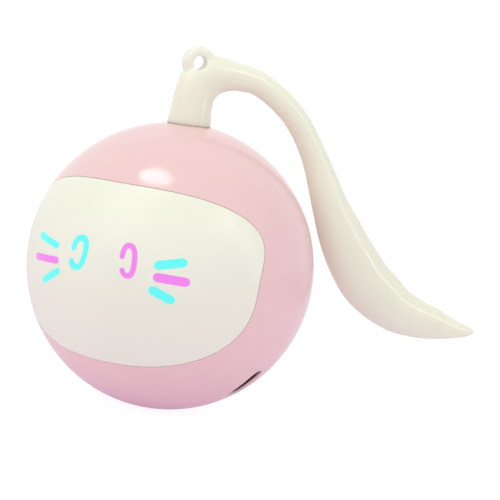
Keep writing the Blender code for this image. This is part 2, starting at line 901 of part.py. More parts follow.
def bush(name, sign):
    """A flanged bush for the axle, its flange on the weight's side."""
    inner = axle_radius + running_gap
    flange_face = plate_inner_face - seat_gap
    profile = [
        (bush_outer, sign * plate_outer_face),
        (bush_outer, sign * flange_face),
        (bush_outer + bush_flange, sign * flange_face),
        (bush_outer + bush_flange, sign * (flange_face - bush_flange_thickness)),
        (inner, sign * (flange_face - bush_flange_thickness)),
        (inner, sign * plate_outer_face),
    ]
    add_piece(name, turned(profile), brass, along_axle)


left_plate = side_plate("left_side_plate", -1)
right_plate = side_plate("right_side_plate", 1)
bush("left_bush", -1)
bush("right_bush", 1)


# Axle, its clip, and the weight that swings on it

clip_face = plate_outer_face + seat_gap * 2
groove_radius = axle_radius - clip_groove_depth


def axle():
    groove_start = clip_face - running_gap
    groove_end = clip_face + clip_thickness + running_gap
    end = groove_end + axle_end_reach
    start = -(gear_end + seat_gap)
    profile = [
        (0, start), (axle_radius, start), (axle_radius, groove_start), (groove_radius, groove_start),
        (groove_radius, groove_end), (axle_radius, groove_end), (axle_radius, end), (0, end),
    ]
    add_piece("axle", turned(profile), steel, along_axle)


def axle_clip():
    """A spring clip in the axle's groove: a ring that is open at the top."""
    inner = groove_radius + running_gap
    start = pi / 2 + clip_mouth_half_angle
    sweep = 2 * pi - 2 * clip_mouth_half_angle
    turns = [start + sweep * i / round_steps for i in range(round_steps + 1)]
    outline = [(clip_radius * cos(t), clip_radius * sin(t)) for t in turns]
    outline += [(inner * cos(t), inner * sin(t)) for t in reversed(turns)]
    add_piece("axle_clip", prism(outline, clip_face, clip_face + clip_thickness), steel, along_axle)


def sector(radius, inner_radius, half_angle):
    """A sector that hangs below the axle, as (y, z) points."""
    turns = [-half_angle + 2 * half_angle * i / weight_steps for i in range(weight_steps + 1)]
    points = [(radius * sin(t), -radius * cos(t)) for t in turns]
    return points + [(inner_radius * sin(t), -inner_radius * cos(t)) for t in reversed(turns)]


arm_low = -weight_half_space
arm_high = arm_low + arm_thickness
weight_low = arm_high + seat_gap
weight_high = weight_low + weight_thickness
weight_screw_places = [
    (weight_screw_place_radius * sin(t), -weight_screw_place_radius * cos(t))
    for t in (-weight_screw_half_spread, weight_screw_half_spread)
]


def weight_arm():
    inner = hub_radius - seat_gap
    arm = add_piece("weight_arm", prism(sector(arm_radius, inner, arm_half_angle), arm_low, arm_high),
                    white_plastic, along_axle)
    fuse(arm, rod(hub_radius, arm_low, weight_half_space), along_axle)
    holes = rod(axle_radius + seat_gap, arm_low - cut_overrun, weight_half_space + cut_overrun)
    for y, z in weight_screw_places:
        screw_hole(y, z, arm_low - cut_overrun, arm_high + cut_overrun, holes)
    cut(arm, holes, along_axle)


def steel_weight():
    outline = sector(weight_radius, weight_inner_radius, weight_half_angle)
    weight = add_piece("steel_weight", prism(outline, weight_low, weight_high), steel, along_axle)
    seat = weight_high - screw_head_height - seat_gap * 2
    head = seat + seat_gap
    for number, (y, z) in enumerate(weight_screw_places, 1):
        cut(weight, screw_hole(y, z, weight_low - cut_overrun, weight_high), along_axle)
        recess = shifted(circle(screw_head_radius + seat_gap, small_round_steps), y, z)
        cut(weight, prism(recess, seat, weight_high + cut_overrun), along_axle)
        place = lying(back, -right, (head, y, z))
        screw(f"weight_screw_{number}", head - arm_low - seat_gap, place)


axle()
axle_clip()
weight_arm()
steel_weight()


# Gears: the motor's pinion turns the idler, the idler turns the gear on the axle

def involute(angle):
    return tan(angle) - angle


def gear_outline(teeth, phase):
    """Straight sided teeth through an involute's root and tip points."""
    pitch = teeth * gear_module / 2
    base = pitch * cos(pressure_angle)
    tip = pitch + gear_module * gear_addendum_share
    root = pitch - gear_module * gear_dedendum_share
    pitch_half = (pi * gear_module / 2 - gear_backlash) / (2 * pitch)

    def half_angle(radius):
        flank = acos(min(base / radius, 1))
        return pitch_half + involute(pressure_angle) - involute(flank)

    points = []
    for tooth in range(teeth):
        middle = phase + 2 * pi * tooth / teeth
        root_half, tip_half = half_angle(max(root, base)), half_angle(tip)
        for radius, turn in ((root, -root_half), (tip, -tip_half), (tip, tip_half), (root, root_half)):
            points.append((radius * cos(middle + turn), radius * sin(middle + turn)))
    return points


def gears():
    main = prism(gear_outline(main_teeth, 0), -gear_end, -gear_start)
    main = add_piece("main_gear", main, gear_plastic, along_axle)
    cut(main, rod(axle_radius + seat_gap, -gear_end - cut_overrun, -gear_start + cut_overrun), along_axle)

    idler_axis = lying(back, right, -back * idler_place)
    idler = prism(gear_outline(idler_large_teeth, 0), -large_gear_end, -large_gear_start)
    idler = add_piece("idler_gear", idler, gear_plastic, idler_axis)
    small_end = -(gear_end + gear_side_gap + seat_gap * 2)
    small = prism(gear_outline(idler_small_teeth, pi / idler_small_teeth), small_end, -gear_start)
    fuse(idler, small, idler_axis)
    bore = rod(idler_pin_radius + running_gap, -large_gear_end - cut_overrun, -gear_start + cut_overrun)
    cut(idler, bore, idler_axis)
    pin = rod(idler_pin_radius, -cover_outer_face, -plate_inner_face, small_round_steps)
    add_piece("idler_pin", pin, steel, idler_axis)
    pin_hole = idler_pin_radius + seat_gap
    pin_hole = rod(pin_hole, -plate_outer_face - cut_overrun, -plate_inner_face + cut_overrun)
    cut(left_plate, pin_hole, idler_axis)

    motor_axis = lying(back, right, -back * motor_place)
    pinion = prism(gear_outline(pinion_teeth, pi / pinion_teeth), -large_gear_end, -large_gear_start)
    pinion = add_piece("motor_pinion", pinion, brass, motor_axis)
    shaft_end = -large_gear_end + idler_large_width / 2
    fuse(pinion, rod(motor_shaft_radius, -motor_face + seat_gap, shaft_end, small_round_steps), motor_axis)


gears()


# Gearbox cover, which also holds the motor

def tip_radius(teeth):
    return teeth * gear_module / 2 + gear_module * gear_addendum_share


def post_place(centre, teeth, direction, side):
    """A post beside a gear, clear of its teeth."""
    reach = tip_radius(teeth) + cover_post_radius + gear_side_gap
    return (centre + direction * reach * cos(cover_post_angle), side * reach * sin(cover_post_angle))


cover_posts = {
    "front_lower": post_place(-idler_place, idler_large_teeth, -1, -1),
    "front_upper": post_place(-idler_place, idler_large_teeth, -1, 1),
    "back_lower": post_place(0, main_teeth, 1, -1),
    "back_upper": post_place(0, main_teeth, 1, 1),
}


def gearbox_cover():
    high_y = max(y for y, z in cover_posts.values()) + cover_rim
    half_height = max(z for y, z in cover_posts.values()) + cover_rim
    outline = rounded(-plate_front, -half_height, high_y, half_height, cover_corner)
    cover = prism(outline, -cover_outer_face, -cover_inner_face)
    cover = add_piece("gearbox_cover", cover, white_plastic, along_axle)
    cradle = bmesh.new()
    cradle_end = motor_face + motor_length * cradle_length_share
    wall_height = motor_half_height + seat_gap + cradle_wall / 2
    flat_half_width = sqrt(motor_round_radius ** 2 - motor_half_height ** 2)
    for side in (-1, 1):
        wall = rectangle(flat_half_width, cradle_wall / 2, (-motor_place, side * wall_height))
        prism(wall, -cradle_end, -cover_inner_face - cover_thickness / 2, cradle)
    fuse(cover, cradle, along_axle)
    holes = prism(shifted(circle(tip_radius(pinion_teeth) + seat_gap), -motor_place, 0),
                  -cover_outer_face - cut_overrun, -cover_inner_face + cut_overrun)
    prism(shifted(circle(idler_pin_radius + seat_gap, small_round_steps), -idler_place, 0),
          -cover_outer_face - cut_overrun, -cover_inner_face + cut_overrun, holes)
    posts = bmesh.new()
    post_holes = bmesh.new()
    post_end = -cover_inner_face + seat_gap
    for level, (y, z) in cover_posts.items():
        screw_hole(y, z, -cover_outer_face - cut_overrun, -cover_inner_face + cut_overrun, holes)
        prism(shifted(circle(cover_post_radius, small_round_steps), y, z),
              post_end, -plate_inner_face - plate_thickness / 2, posts)
        head = -cover_outer_face - seat_gap
        screw_hole(y, z, post_end - cut_overrun, head + cover_screw_length + seat_gap, post_holes)
        screw(f"gearbox_screw_{level}", cover_screw_length, lying(back, right, (head, y, z)))
    cut(cover, holes, along_axle)
    fuse(left_plate, posts, along_axle)
    cut(left_plate, post_holes, along_axle)
    bush_hole(left_plate, -1)


def flat_sided(radius, half_height, steps=round_steps):
    """A circle cut off at the top and bottom, as (y, z) points."""
    corner = asin(half_height / radius)
    points = []
    for start in (-corner, pi - corner):
        for k in range(steps // 2 + 1):
            turn = start + 2 * corner * k / (steps // 2)
            points.append((radius * cos(turn), radius * sin(turn)))
    return points


def motor():
    outline = shifted(flat_sided(motor_round_radius, motor_half_height), -motor_place, 0)
    add_piece("motor", prism(outline, -motor_back, -motor_face), steel, along_axle)
    cap_outline = flat_sided(motor_round_radius - motor_cap_inset, motor_half_height - motor_cap_inset)
    cap_face = motor_back + seat_gap
    cap_back = cap_face + motor_cap_thickness
    cap = prism(shifted(cap_outline, -motor_place, 0), -cap_back, -cap_face)
    cap = add_piece("motor_end_cap", cap, black_plastic, along_axle)
    terminals = bmesh.new()
    for side in (-1, 1):
        terminal = rectangle(terminal_size / 2, terminal_size / 4, (-motor_place, side * terminal_spread))
        prism(terminal, -cap_back - terminal_size, -cap_face - motor_cap_thickness / 2, terminals)
    fuse(cap, terminals, along_axle)


gearbox_cover()
motor()


# Main board, charging socket, and the battery on its shelf

def slab(outline, front, rear):
    """An (x, z) outline from y = front to y = rear."""
    return prism(outline, -rear, -front)


board_screw_places = [
    (board_near + board_screw_inset, board_screw_height),
    (board_far - board_screw_inset * 2, -board_screw_height),
]


def main_board():
    far_height = -(board_corner_distance - sin(socket_angle) * board_far) / cos(socket_angle)
    corner_across = (board_corner_distance - cos(socket_angle) * board_bottom) / sin(socket_angle)
    outline = [
        (board_near, -board_bottom), (corner_across, -board_bottom), (board_far, far_height),
        (board_far, board_top), (board_near, board_top),
    ]
    board = add_piece("main_board", slab(outline, board_front, board_back), green_board, facing_front)
    holes = bmesh.new()
    for number, (x, z) in enumerate(board_screw_places, 1):
        screw_hole(x, z, -shelf_back - cut_overrun, -board_front + cut_overrun, holes)
        at = (x, board_front - seat_gap, z)
        screw(f"main_board_screw_{number}", board_screw_length, lying(right, back, at))
    cut(board, holes, facing_front)
    chip = rectangle(chip_size / 2, chip_size / 2, ((board_near + board_far) / 2, 0))
    add_piece("control_chip", slab(chip, board_front - seat_gap - chip_thickness, board_front - seat_gap),
              black_plastic, facing_front)


def battery_shelf():
    """The shelf is part of the right side plate."""
    root = plate_inner_face + plate_thickness / 2
    middle, half_width = (root + shelf_reach) / 2, (shelf_reach - root) / 2
    shelf = slab(rectangle(half_width, shelf_half_height, (middle, 0)), shelf_front, shelf_back)
    fuse(right_plate, shelf, facing_front)
    lips = bmesh.new()
    lip_back = battery_front + battery_thickness * lip_depth_share
    for side in (-1, 1):
        height = side * (battery_height / 2 + seat_gap + lip_thickness / 2)
        lip = rectangle(battery_width / 2, lip_thickness / 2, (battery_middle, height))
        prism(lip, -lip_back, -shelf_front - shelf_thickness / 2, lips)
    fuse(right_plate, lips, facing_front)
    clip_room = rectangle(clip_radius + seat_gap, clip_radius + seat_gap)
    axle_end = clip_face + clip_thickness + running_gap + axle_end_reach
    cut(right_plate, prism(clip_room, plate_outer_face, axle_end + seat_gap), along_axle)
    holes = bmesh.new()
    for x, z in board_screw_places:
        screw_hole(x, z, -shelf_back - cut_overrun, -board_front + cut_overrun, holes)
    cut(right_plate, holes, facing_front)
    bush_hole(right_plate, 1)


battery_middle = board_near + battery_width / 2


def battery():
    half_width, half_height = battery_width / 2, battery_height / 2
    outline = rounded(battery_middle - half_width, -half_height, battery_middle + half_width, half_height,
                      battery_corner)
    body = slab(outline, battery_front, battery_front + battery_thickness)
    add_piece("battery", body, battery_foil, facing_front)


def charging_socket():
    mouth = ball_radius - socket_recess
    rear = mouth - socket_length
    socket = add_piece("charging_socket", prism(socket_outline(0), rear, mouth), steel, socket_place)
    cut(socket, prism(socket_outline(-socket_wall), rear + socket_floor, mouth + cut_overrun), socket_place)
    tongue = rectangle(socket_width / 2 - socket_wall - socket_tongue_inset, socket_tongue_height / 2)
    fuse(socket, prism(tongue, rear + socket_floor / 2, mouth - socket_tongue_setback), socket_place)


main_board()
battery_shelf()
battery()
charging_socket()


# Power button, its plunger, and the switch behind it

def power_button():
    profile = [(0, button_flange_low), (button_radius + button_flange, button_flange_low),
               (button_radius + button_flange, button_flange_top), (button_radius, button_flange_top)]
    top = ball_radius - button_recess
    for row in range(dome_rows):
        radius = button_radius * (1 - row / dome_rows)
        profile.append((radius, sqrt(top ** 2 - radius ** 2)))
    profile.append((0, top))
    add_piece("power_button", turned(profile), pink_plastic, button_place)
    plunger = rod(plunger_radius, plunger_low, plunger_top, small_round_steps)
    add_piece("switch_plunger", plunger, black_plastic, button_place)


def switch():
    body = prism(rectangle(switch_size / 2, switch_size / 2), switch_low, switch_top)
    body = add_piece("power_switch", body, steel, button_place)
    hole_floor = plunger_low - button_travel - seat_gap
    hole = rod(plunger_radius + seat_gap, hole_floor, switch_top + cut_overrun, small_round_steps)
    cut(body, hole, button_place)
    outline = rectangle(switch_board_half_width, switch_board_half_length)
    board = prism(outline, switch_board_low, switch_board_top)
    board = add_piece("switch_board", board, green_board, button_place)
    holes = bmesh.new()
    for number, (x, y) in enumerate(switch_post_places, 1):
        screw_hole(x, y, switch_board_low - cut_overrun, switch_board_top + cut_overrun, holes)
        place = button_place @ Matrix.Translation((x, y, switch_board_low - seat_gap))
        screw(f"switch_board_screw_{number}", switch_screw_length, place)
    cut(board, holes, button_place)


power_button()
switch()


# Tail: one silicone moulding with its plug, its bend and its ring

def smooth(values, position):
    """Read a smooth curve through a list of numbers at a place between them."""
    k = min(int(position), len(values) - 2)
    part = position - k
    before = values[max(k - 1, 0)]
    after = values[min(k + 2, len(values) - 1)]
    a, b = values[k], values[k + 1]
    slope_a, slope_b = (b - before) / 2, (after - a) / 2
    return (
        a * (1 + 2 * part) * (1 - part) ** 2 + slope_a * part * (1 - part) ** 2
        + b * part ** 2 * (3 - 2 * part) - slope_b * part ** 2 * (1 - part)
    )


def tail_station(position):
    """Middle, half width and half thickness of the tail at a place along it."""
    turn, lift, width, thickness = (smooth(column, position) for column in zip(*tail_route_shares))
    radius = ball_radius + tail_lift * lift
    angle = tail_turn * turn
    middle = Vector((radius * sin(angle), radius * cos(angle)))
    return middle, tail_width * width / 2, tail_thickness * thickness / 2


def tail():
    builder = bmesh.new()
    turns = [2 * pi * i / tail_sides for i in range(tail_sides)]
    seat = ball_radius + seat_gap
    plug_top = sqrt(shell_inner ** 2 - tail_plug_radius ** 2) - seat_gap
    plug_low = plug_top - tail_plug_length
    plug = [
        (tail_plug_radius - tail_plug_chamfer, plug_low),
        (tail_plug_radius, plug_low + tail_plug_chamfer),
        (tail_plug_radius, plug_top),
        (tail_neck_radius, plug_top),
        (tail_neck_radius, sqrt(seat ** 2 - tail_neck_radius ** 2)),
    ]
    rings = [[builder.verts.new((0, 0, plug_low))]]
    for radius, height in plug:
        rings.append([builder.verts.new((radius * cos(t), radius * sin(t), height)) for t in turns])
    last = len(tail_route_shares) - 1
    places = [last * i / tail_steps for i in range(tail_steps + 1)]
    for index, place in enumerate(places):
        middle, half_width, half_thickness = tail_station(place)
        ahead = tail_station(min(place + slope_step, last))[0] - tail_station(max(place - slope_step, 0))[0]
        ahead.normalize()
        inwards = Vector((ahead.y, -ahead.x))
        ring = []
        for t in turns:
            flat = middle + inwards * half_width * cos(t)
            side = half_thickness * sin(t)
            height = flat.y if index else sqrt(seat ** 2 - flat.x ** 2 - side ** 2)
            ring.append(builder.verts.new((flat.x, side, height)))
        rings.append(ring)
    tip_reach = ball_radius + tail_lift
    rings.append([builder.verts.new((tip_reach * sin(tail_turn), 0, tip_reach * cos(tail_turn)))])
    for lower, upper in zip(rings, rings[1:]):
        join_rings(builder, lower, upper)
    place = lying(tail_outward, up)
    piece = add_piece("tail", builder, ivory_silicone, place)
    ring_at = tail_outward * ring_across + up * (ball_radius + ring_height)
    ring_place = lying(tail_outward, up.cross(tail_outward), ring_at)
    fuse(piece, rod(ring_radius, -ring_thickness / 2, ring_thickness / 2), ring_place)
    cut(piece, rod(ring_hole_radius, -tail_width, tail_width, ring_hole_steps), ring_place)


tail()
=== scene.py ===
"""The self rolling cat ball as it looks in the hand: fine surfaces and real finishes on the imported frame.

Metres, +Z up. The origin is under the ball, -Y is the face and +X is the charging side.
"""
from math import copysign, cos, pi, radians, sin, sqrt, tan

import bmesh
import bpy
from mathutils import Matrix, Vector


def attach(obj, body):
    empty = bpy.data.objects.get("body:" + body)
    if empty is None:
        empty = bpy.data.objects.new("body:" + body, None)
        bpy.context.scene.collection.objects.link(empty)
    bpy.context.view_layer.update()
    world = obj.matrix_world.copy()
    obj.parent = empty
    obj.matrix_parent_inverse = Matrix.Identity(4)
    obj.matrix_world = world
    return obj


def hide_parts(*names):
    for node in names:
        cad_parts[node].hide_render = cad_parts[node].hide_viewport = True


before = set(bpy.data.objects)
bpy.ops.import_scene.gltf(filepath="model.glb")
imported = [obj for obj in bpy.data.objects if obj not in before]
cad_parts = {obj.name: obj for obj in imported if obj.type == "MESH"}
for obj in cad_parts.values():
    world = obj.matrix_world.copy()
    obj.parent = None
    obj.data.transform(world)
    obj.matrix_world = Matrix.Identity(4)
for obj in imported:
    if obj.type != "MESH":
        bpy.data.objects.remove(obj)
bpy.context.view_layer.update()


# Outer shell
# One injection moulded ball of pink ABS with a wide opening for the face, polished in the mould.
# A ledge behind the opening carries the face, and posts on the back wall take the frame's screws.

ball_radius = 0.0325
ball_centre = Vector((0, 0, 0.032187))
shell_inner = 0.0301
right, back, up = Vector((1, 0, 0)), Vector((0, 1, 0)), Vector((0, 0, 1))

# The opening for the face, as it is seen from straight in front
face_half_width = 0.0291
face_rise = 0.0175
face_drop = 0.0216
face_widest_height = 0.0018
face_upper_power = 3.1
face_lower_power = 2.55
face_points = 264
face_points_drawn = face_points * 6

ledge_top = 0.0307
ledge_low = 0.0291
ledge_width = 0.0016
ledge_root = 0.0012
edge_round = 0.00012
round_steps = 4
fine_round_steps = 64
skin_rows, inside_rows = 72, 30
sharp_edge = radians(35)
skin_lean = radians(30)
spherical_limit = 0.00002


def on_ball(x, z):
    """The direction of the point of the ball that is seen at x, z from straight in front."""
    depth = sqrt(max(ball_radius ** 2 - x * x - z * z, 0))
    return Vector((x, -depth, z)).normalized()


def between(a, b, part):
    """A direction part of the way along the great circle from a to b."""
    angle = a.angle(b)
    return (a * sin((1 - part) * angle) + b * sin(part * angle)) / sin(angle)


def evenly_spaced(run, count):
    """Points at equal steps round a closed run of directions."""
    closed = run + run[:1]
    travelled = [0.0]
    for a, b in zip(closed, closed[1:]):
        travelled.append(travelled[-1] + (b - a).length)
    picked = []
    k = 0
    for i in range(count):
        goal = travelled[-1] * i / count
        while travelled[k + 1] < goal:
            k += 1
        part = (goal - travelled[k]) / (travelled[k + 1] - travelled[k])
        picked.append(closed[k].lerp(closed[k + 1], part).normalized())
    return picked


def moved_outwards(run, grow):
    """A closed run of directions, moved outwards over the ball by grow."""
    moved = []
    turn = grow / ball_radius
    for i, point in enumerate(run):
        along = run[(i + 1) % len(run)] - run[i - 1]
        outward = point.cross(along).normalized()
        moved.append((point * cos(turn) - outward * sin(turn)).normalized())
    return moved


def face_line():
    """The edge of the face: flatter above, deeper and rounder below."""
    drawn = []
    for i in range(face_points_drawn):
        turn = 2 * pi * i / face_points_drawn
        power = face_upper_power if sin(turn) > 0 else face_lower_power
        reach = face_rise if sin(turn) > 0 else face_drop
        x = face_half_width * copysign(abs(cos(turn)) ** (2 / power), cos(turn))
        z = face_widest_height + reach * copysign(abs(sin(turn)) ** (2 / power), sin(turn))
        drawn.append(on_ball(x, z))
    return evenly_spaced(drawn, face_points)


face_edge = face_line()
face_middle = on_ball(0, face_widest_height)


def ring_of(builder, directions, radius):
    """A ring of points on the ball, one in each direction."""
    return [builder.verts.new(ball_centre + d * radius) for d in directions]


def rows_to(builder, directions, pole, radius, rows):
    """Rings on the ball from a closed run of directions to a pole."""
    rings = []
    for row in range(rows):
        rings.append(ring_of(builder, [between(d, pole, row / rows) for d in directions], radius))
    return rings + [ring_of(builder, [pole], radius)]


def skin_between(builder, lower, upper):
    """Faces between two rings of points, either of which may be one point."""
    steps = max(len(lower), len(upper))
    lower, upper = (ring * steps if len(ring) == 1 else ring for ring in (lower, upper))
    for i in range(steps):
        j = (i + 1) % steps
        builder.faces.new(list(dict.fromkeys((lower[i], lower[j], upper[j], upper[i]))))


def skin_over(builder, rings):
    """Faces over a row of rings, from the first to the last."""
    for lower, upper in zip(rings, rings[1:]):
        skin_between(builder, lower, upper)


def piece_from(name, builder):
    """A new object made of a bmesh, smooth but for its edges."""
    bmesh.ops.recalc_face_normals(builder, faces=builder.faces)
    mesh = bpy.data.meshes.new(name)
    builder.to_mesh(mesh)
    builder.free()
    mesh.shade_smooth()
    mesh.set_sharp_from_angle(angle=sharp_edge)
    piece = bpy.data.objects.new(name, mesh)
    bpy.context.scene.collection.objects.link(piece)
    return piece


def work_with(piece, operation, builder):
    """Cut a shape from a piece, or add it, for good."""
    tool = piece_from(piece.name + "_tool", builder)
    modifier = piece.modifiers.new("work", "BOOLEAN")
    modifier.operation = operation
    modifier.solver = "EXACT"
    modifier.object = tool
    mesh = bpy.data.meshes.new_from_object(piece.evaluated_get(bpy.context.evaluated_depsgraph_get()))
    piece.modifiers.clear()
    piece.data = mesh
    bpy.data.objects.remove(tool)
    mesh.shade_smooth()
    mesh.set_sharp_from_angle(angle=sharp_edge)


def polish_as_ball(piece):
    """Give the outer skin the ball's own normals, so that gloss runs over it without a ripple."""
    mesh = piece.data
    normals = [Vector(n.vector) for n in mesh.corner_normals]
    for face in mesh.polygons:
        outward = (face.center - ball_centre).normalized()
        if face.normal.dot(outward) < cos(skin_lean):
            continue
        for corner in face.loop_indices:
            spoke = mesh.vertices[mesh.loops[corner].vertex_index].co - ball_centre
            if abs(spoke.length - ball_radius) < spherical_limit:
                normals[corner] = spoke.normalized()
    mesh.normals_split_custom_set([n[:] for n in normals])


def round_over(lip):
    """Steps of (grow, radius) from the ball's skin down into an opening's wall."""
    turns = [pi / 2 * k / round_steps for k in range(round_steps + 1)]
    return [(lip * (1 - sin(t)), ball_radius - lip * (1 - cos(t))) for t in turns]


def shell_skin():
    """The shell before its posts and openings: its outside, the seam's edge, the ledge and its inside."""
    builder = bmesh.new()
    ledge = [(0, ledge_top), (-ledge_width, ledge_top), (-ledge_width, ledge_low), (ledge_root, ledge_low)]
    pole = -face_middle
    rings = rows_to(builder, moved_outwards(face_edge, edge_round), pole, ball_radius, skin_rows)[::-1]
    for grow, radius in round_over(edge_round)[1:] + ledge:
        rings.append(ring_of(builder, moved_outwards(face_edge, grow), radius))
    rings += rows_to(builder, moved_outwards(face_edge, ledge_root), pole, shell_inner, inside_rows)
    skin_over(builder, rings)
    return piece_from("shell_skin", builder)


def frame_of(across, along, at=(0, 0, 0)):
    """A place on the ball whose own X runs across and whose own Z runs along."""
    local_z = Vector(along).normalized()
    local_x = Vector(across).normalized()
    matrix = Matrix((local_x, local_z.cross(local_x), local_z)).transposed().to_4x4()
    matrix.translation = ball_centre + Vector(at)
    return matrix


def placed(builder, place, points):
    """New points of a mesh, given in a place's own axes."""
    return [builder.verts.new(place @ Vector(point)) for point in points]


def hoop(builder, place, radius, height, steps):
    """A ring of points round a place's own Z, or one point where the radius is nought."""
    turns = [2 * pi * i / steps for i in range(steps)] if radius else [0]
    return placed(builder, place, [(radius * cos(t), radius * sin(t), height) for t in turns])


def round_bar(radius, low, high, place, steps=32):
    """A plain round bar along a place's own Z."""
    builder = bmesh.new()
    rings = [hoop(builder, place, radius, height, steps) for height in (low, high)]
    skin_over(builder, rings)
    for ring in rings:
        builder.faces.new(ring)
    return builder


shell = shell_skin()

frame_post_across, frame_post_height = 0.0097, 0.0158
frame_post_radius, frame_post_face = 0.0022, 0.02035
screw_hole_radius = 0.001
screw_hole_depth = 0.0035
fuse_depth = 0.0009
for x in (-frame_post_across, frame_post_across):
    for z in (-frame_post_height, frame_post_height):
        post_place = frame_of(right, back, (x, 0, z))
        wall = sqrt(shell_inner ** 2 - x * x - z * z) + fuse_depth / 2
        work_with(shell, "UNION", round_bar(frame_post_radius, frame_post_face, wall, post_place))
        work_with(shell, "DIFFERENCE", round_bar(screw_hole_radius, frame_post_face - fuse_depth,
                                                 frame_post_face + screw_hole_depth, post_place))

# The openings: the charging slot, the hole for the tail's neck and the hole for the power button
socket_angle = radians(45.4)
socket_side = 0.0013
slot_half_width, slot_half_height = 0.00475, 0.0019
slot_end_steps = 12
slot_lip = 0.0002
slot_wall = 0.0005
pocket_margin = 0.005
tail_hole_radius = 0.0033
button_angle = radians(20)
button_radius, button_gap, button_lip = 0.003, 0.0002, 0.00015
clear_height = 0.002


def skin_height(place, radius, x, y):
    """How far along a place's own Z the ball of a given radius lies at x, y."""
    middle = place.inverted() @ ball_centre
    return middle.z + sqrt(radius ** 2 - (x - middle.x) ** 2 - (y - middle.y) ** 2)


def rounded_mouth(outline_at, place, depth, lip):
    """A cutter for an opening whose lip is rounded over where it meets the ball."""
    builder = bmesh.new()
    rings = []
    above_skin = [(lip * 2, ball_radius + clear_height), (lip * 2, ball_radius + lip)]
    for grow, radius in above_skin + round_over(lip):
        points = [(x, y, skin_height(place, radius, x, y)) for x, y in outline_at(grow)]
        rings.append(placed(builder, place, points))
    rings.append(placed(builder, place, [(x, y, depth) for x, y in outline_at(0)]))
    skin_over(builder, rings)
    builder.faces.new(rings[0])
    builder.faces.new(rings[-1])
    return builder


def domed_block(outline, place, low, radius, rows=6):
    """A cutter with a flat end at low and a domed end that follows the ball at radius."""
    builder = bmesh.new()
    rings = [placed(builder, place, [(x, y, low) for x, y in outline])]
    builder.faces.new(rings[0])
    for row in range(rows):
        share = 1 - row / rows
        shrunk = [(x * share, y * share) for x, y in outline]
        rings.append(placed(builder, place, [(x, y, skin_height(place, radius, x, y)) for x, y in shrunk]))
    rings.append(placed(builder, place, [(0, 0, skin_height(place, radius, 0, 0))]))
    skin_over(builder, rings)
    return builder


def slot_outline(grow):
    """The charging slot: two long sides and two round ends."""
    width, height = slot_half_width + grow, slot_half_height + grow
    points = []
    for side in (1, -1):
        for k in range(slot_end_steps + 1):
            turn = -pi / 2 + pi * k / slot_end_steps
            points.append((side * (width - height + height * cos(turn)), side * height * sin(turn)))
    return points


def button_outline(grow):
    """The button's round hole."""
    radius = button_radius + button_gap + grow
    turns = [2 * pi * i / fine_round_steps for i in range(fine_round_steps)]
    return [(radius * cos(t), radius * sin(t)) for t in turns]


cut_from = shell_inner - fuse_depth
socket_place = frame_of((cos(socket_angle), 0, sin(socket_angle)),
                        (sin(socket_angle), 0, -cos(socket_angle)), -back * socket_side)
work_with(shell, "DIFFERENCE", rounded_mouth(slot_outline, socket_place, cut_from, slot_lip))

# Behind the slot the wall is thinned from inside, so that a plug reaches right into the socket
work_with(shell, "DIFFERENCE", domed_block(slot_outline(pocket_margin), socket_place, cut_from,
                                           ball_radius - slot_wall))

work_with(shell, "DIFFERENCE", round_bar(tail_hole_radius, cut_from, ball_radius + fuse_depth,
                                         frame_of(right, up), fine_round_steps))

button_along = Vector((-sin(button_angle), 0, -cos(button_angle)))
button_place = frame_of(-back.cross(button_along), button_along)
work_with(shell, "DIFFERENCE", rounded_mouth(button_outline, button_place, cut_from, button_lip))

# The small flat that the ball stands on
foot_cut = bmesh.new()
bmesh.ops.create_cube(foot_cut, size=ball_radius)
bmesh.ops.translate(foot_cut, vec=-up * ball_radius / 2, verts=foot_cut.verts)
work_with(shell, "DIFFERENCE", foot_cut)

polish_as_ball(shell)
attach(shell, "ball")
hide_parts("outer_shell")

patch_low, patch_high = 0.3, 0.7
flow_patch = 0.012
skin_relief, skin_depth = 0.3, 0.00001


def new_finish(name):
    """An empty material with its shader and its place on the piece, in metres."""
    material = bpy.data.materials.new(name)
    material.use_nodes = True
    nodes = material.node_tree.nodes
    return material, nodes["Principled BSDF"], nodes.new("ShaderNodeTexCoord").outputs["Object"]


def wired(owner, kind, inputs, **settings):
    """A node with its settings, its values and what is wired into it."""
    node = owner.node_tree.nodes.new(kind)
    for name, value in settings.items():
        setattr(node, name, value)
    for key, value in inputs.items():
        if isinstance(value, bpy.types.NodeSocket):
            owner.node_tree.links.new(value, node.inputs[key])
        else:
            node.inputs[key].default_value = value
    return node


def plug(owner, value, socket):
    """Wire a node's result into a socket."""
    owner.node_tree.links.new(value, socket)


def cloudy(material, place, size, detail=2.0):
    """Soft patches about size across."""
    inputs = {"Vector": place, "Scale": 1 / size, "Detail": detail}
    return wired(material, "ShaderNodeTexNoise", inputs).outputs["Fac"]


def drift(material, patches, low, high):
    """Soft patches turned into a number between low and high."""
    inputs = {"Value": patches, "From Min": patch_low, "From Max": patch_high,
              "To Min": low, "To Max": high}
    return wired(material, "ShaderNodeMapRange", inputs).outputs["Result"]


def shaded(material, patches, one, other):
    """Soft patches turned into a colour between one and other."""
    mix = wired(material, "ShaderNodeMix", {"Factor": drift(material, patches, 0, 1)}, data_type="RGBA")
    mix.inputs["A"].default_value = (*one, 1)
    mix.inputs["B"].default_value = (*other, 1)
    return mix.outputs["Result"]


def raised(material, shader, height, relief, depth):
    """A fine relief in the skin."""
    bump = wired(material, "ShaderNodeBump", {"Height": height, "Strength": relief, "Distance": depth})
    plug(material, bump.outputs["Normal"], shader.inputs["Normal"])


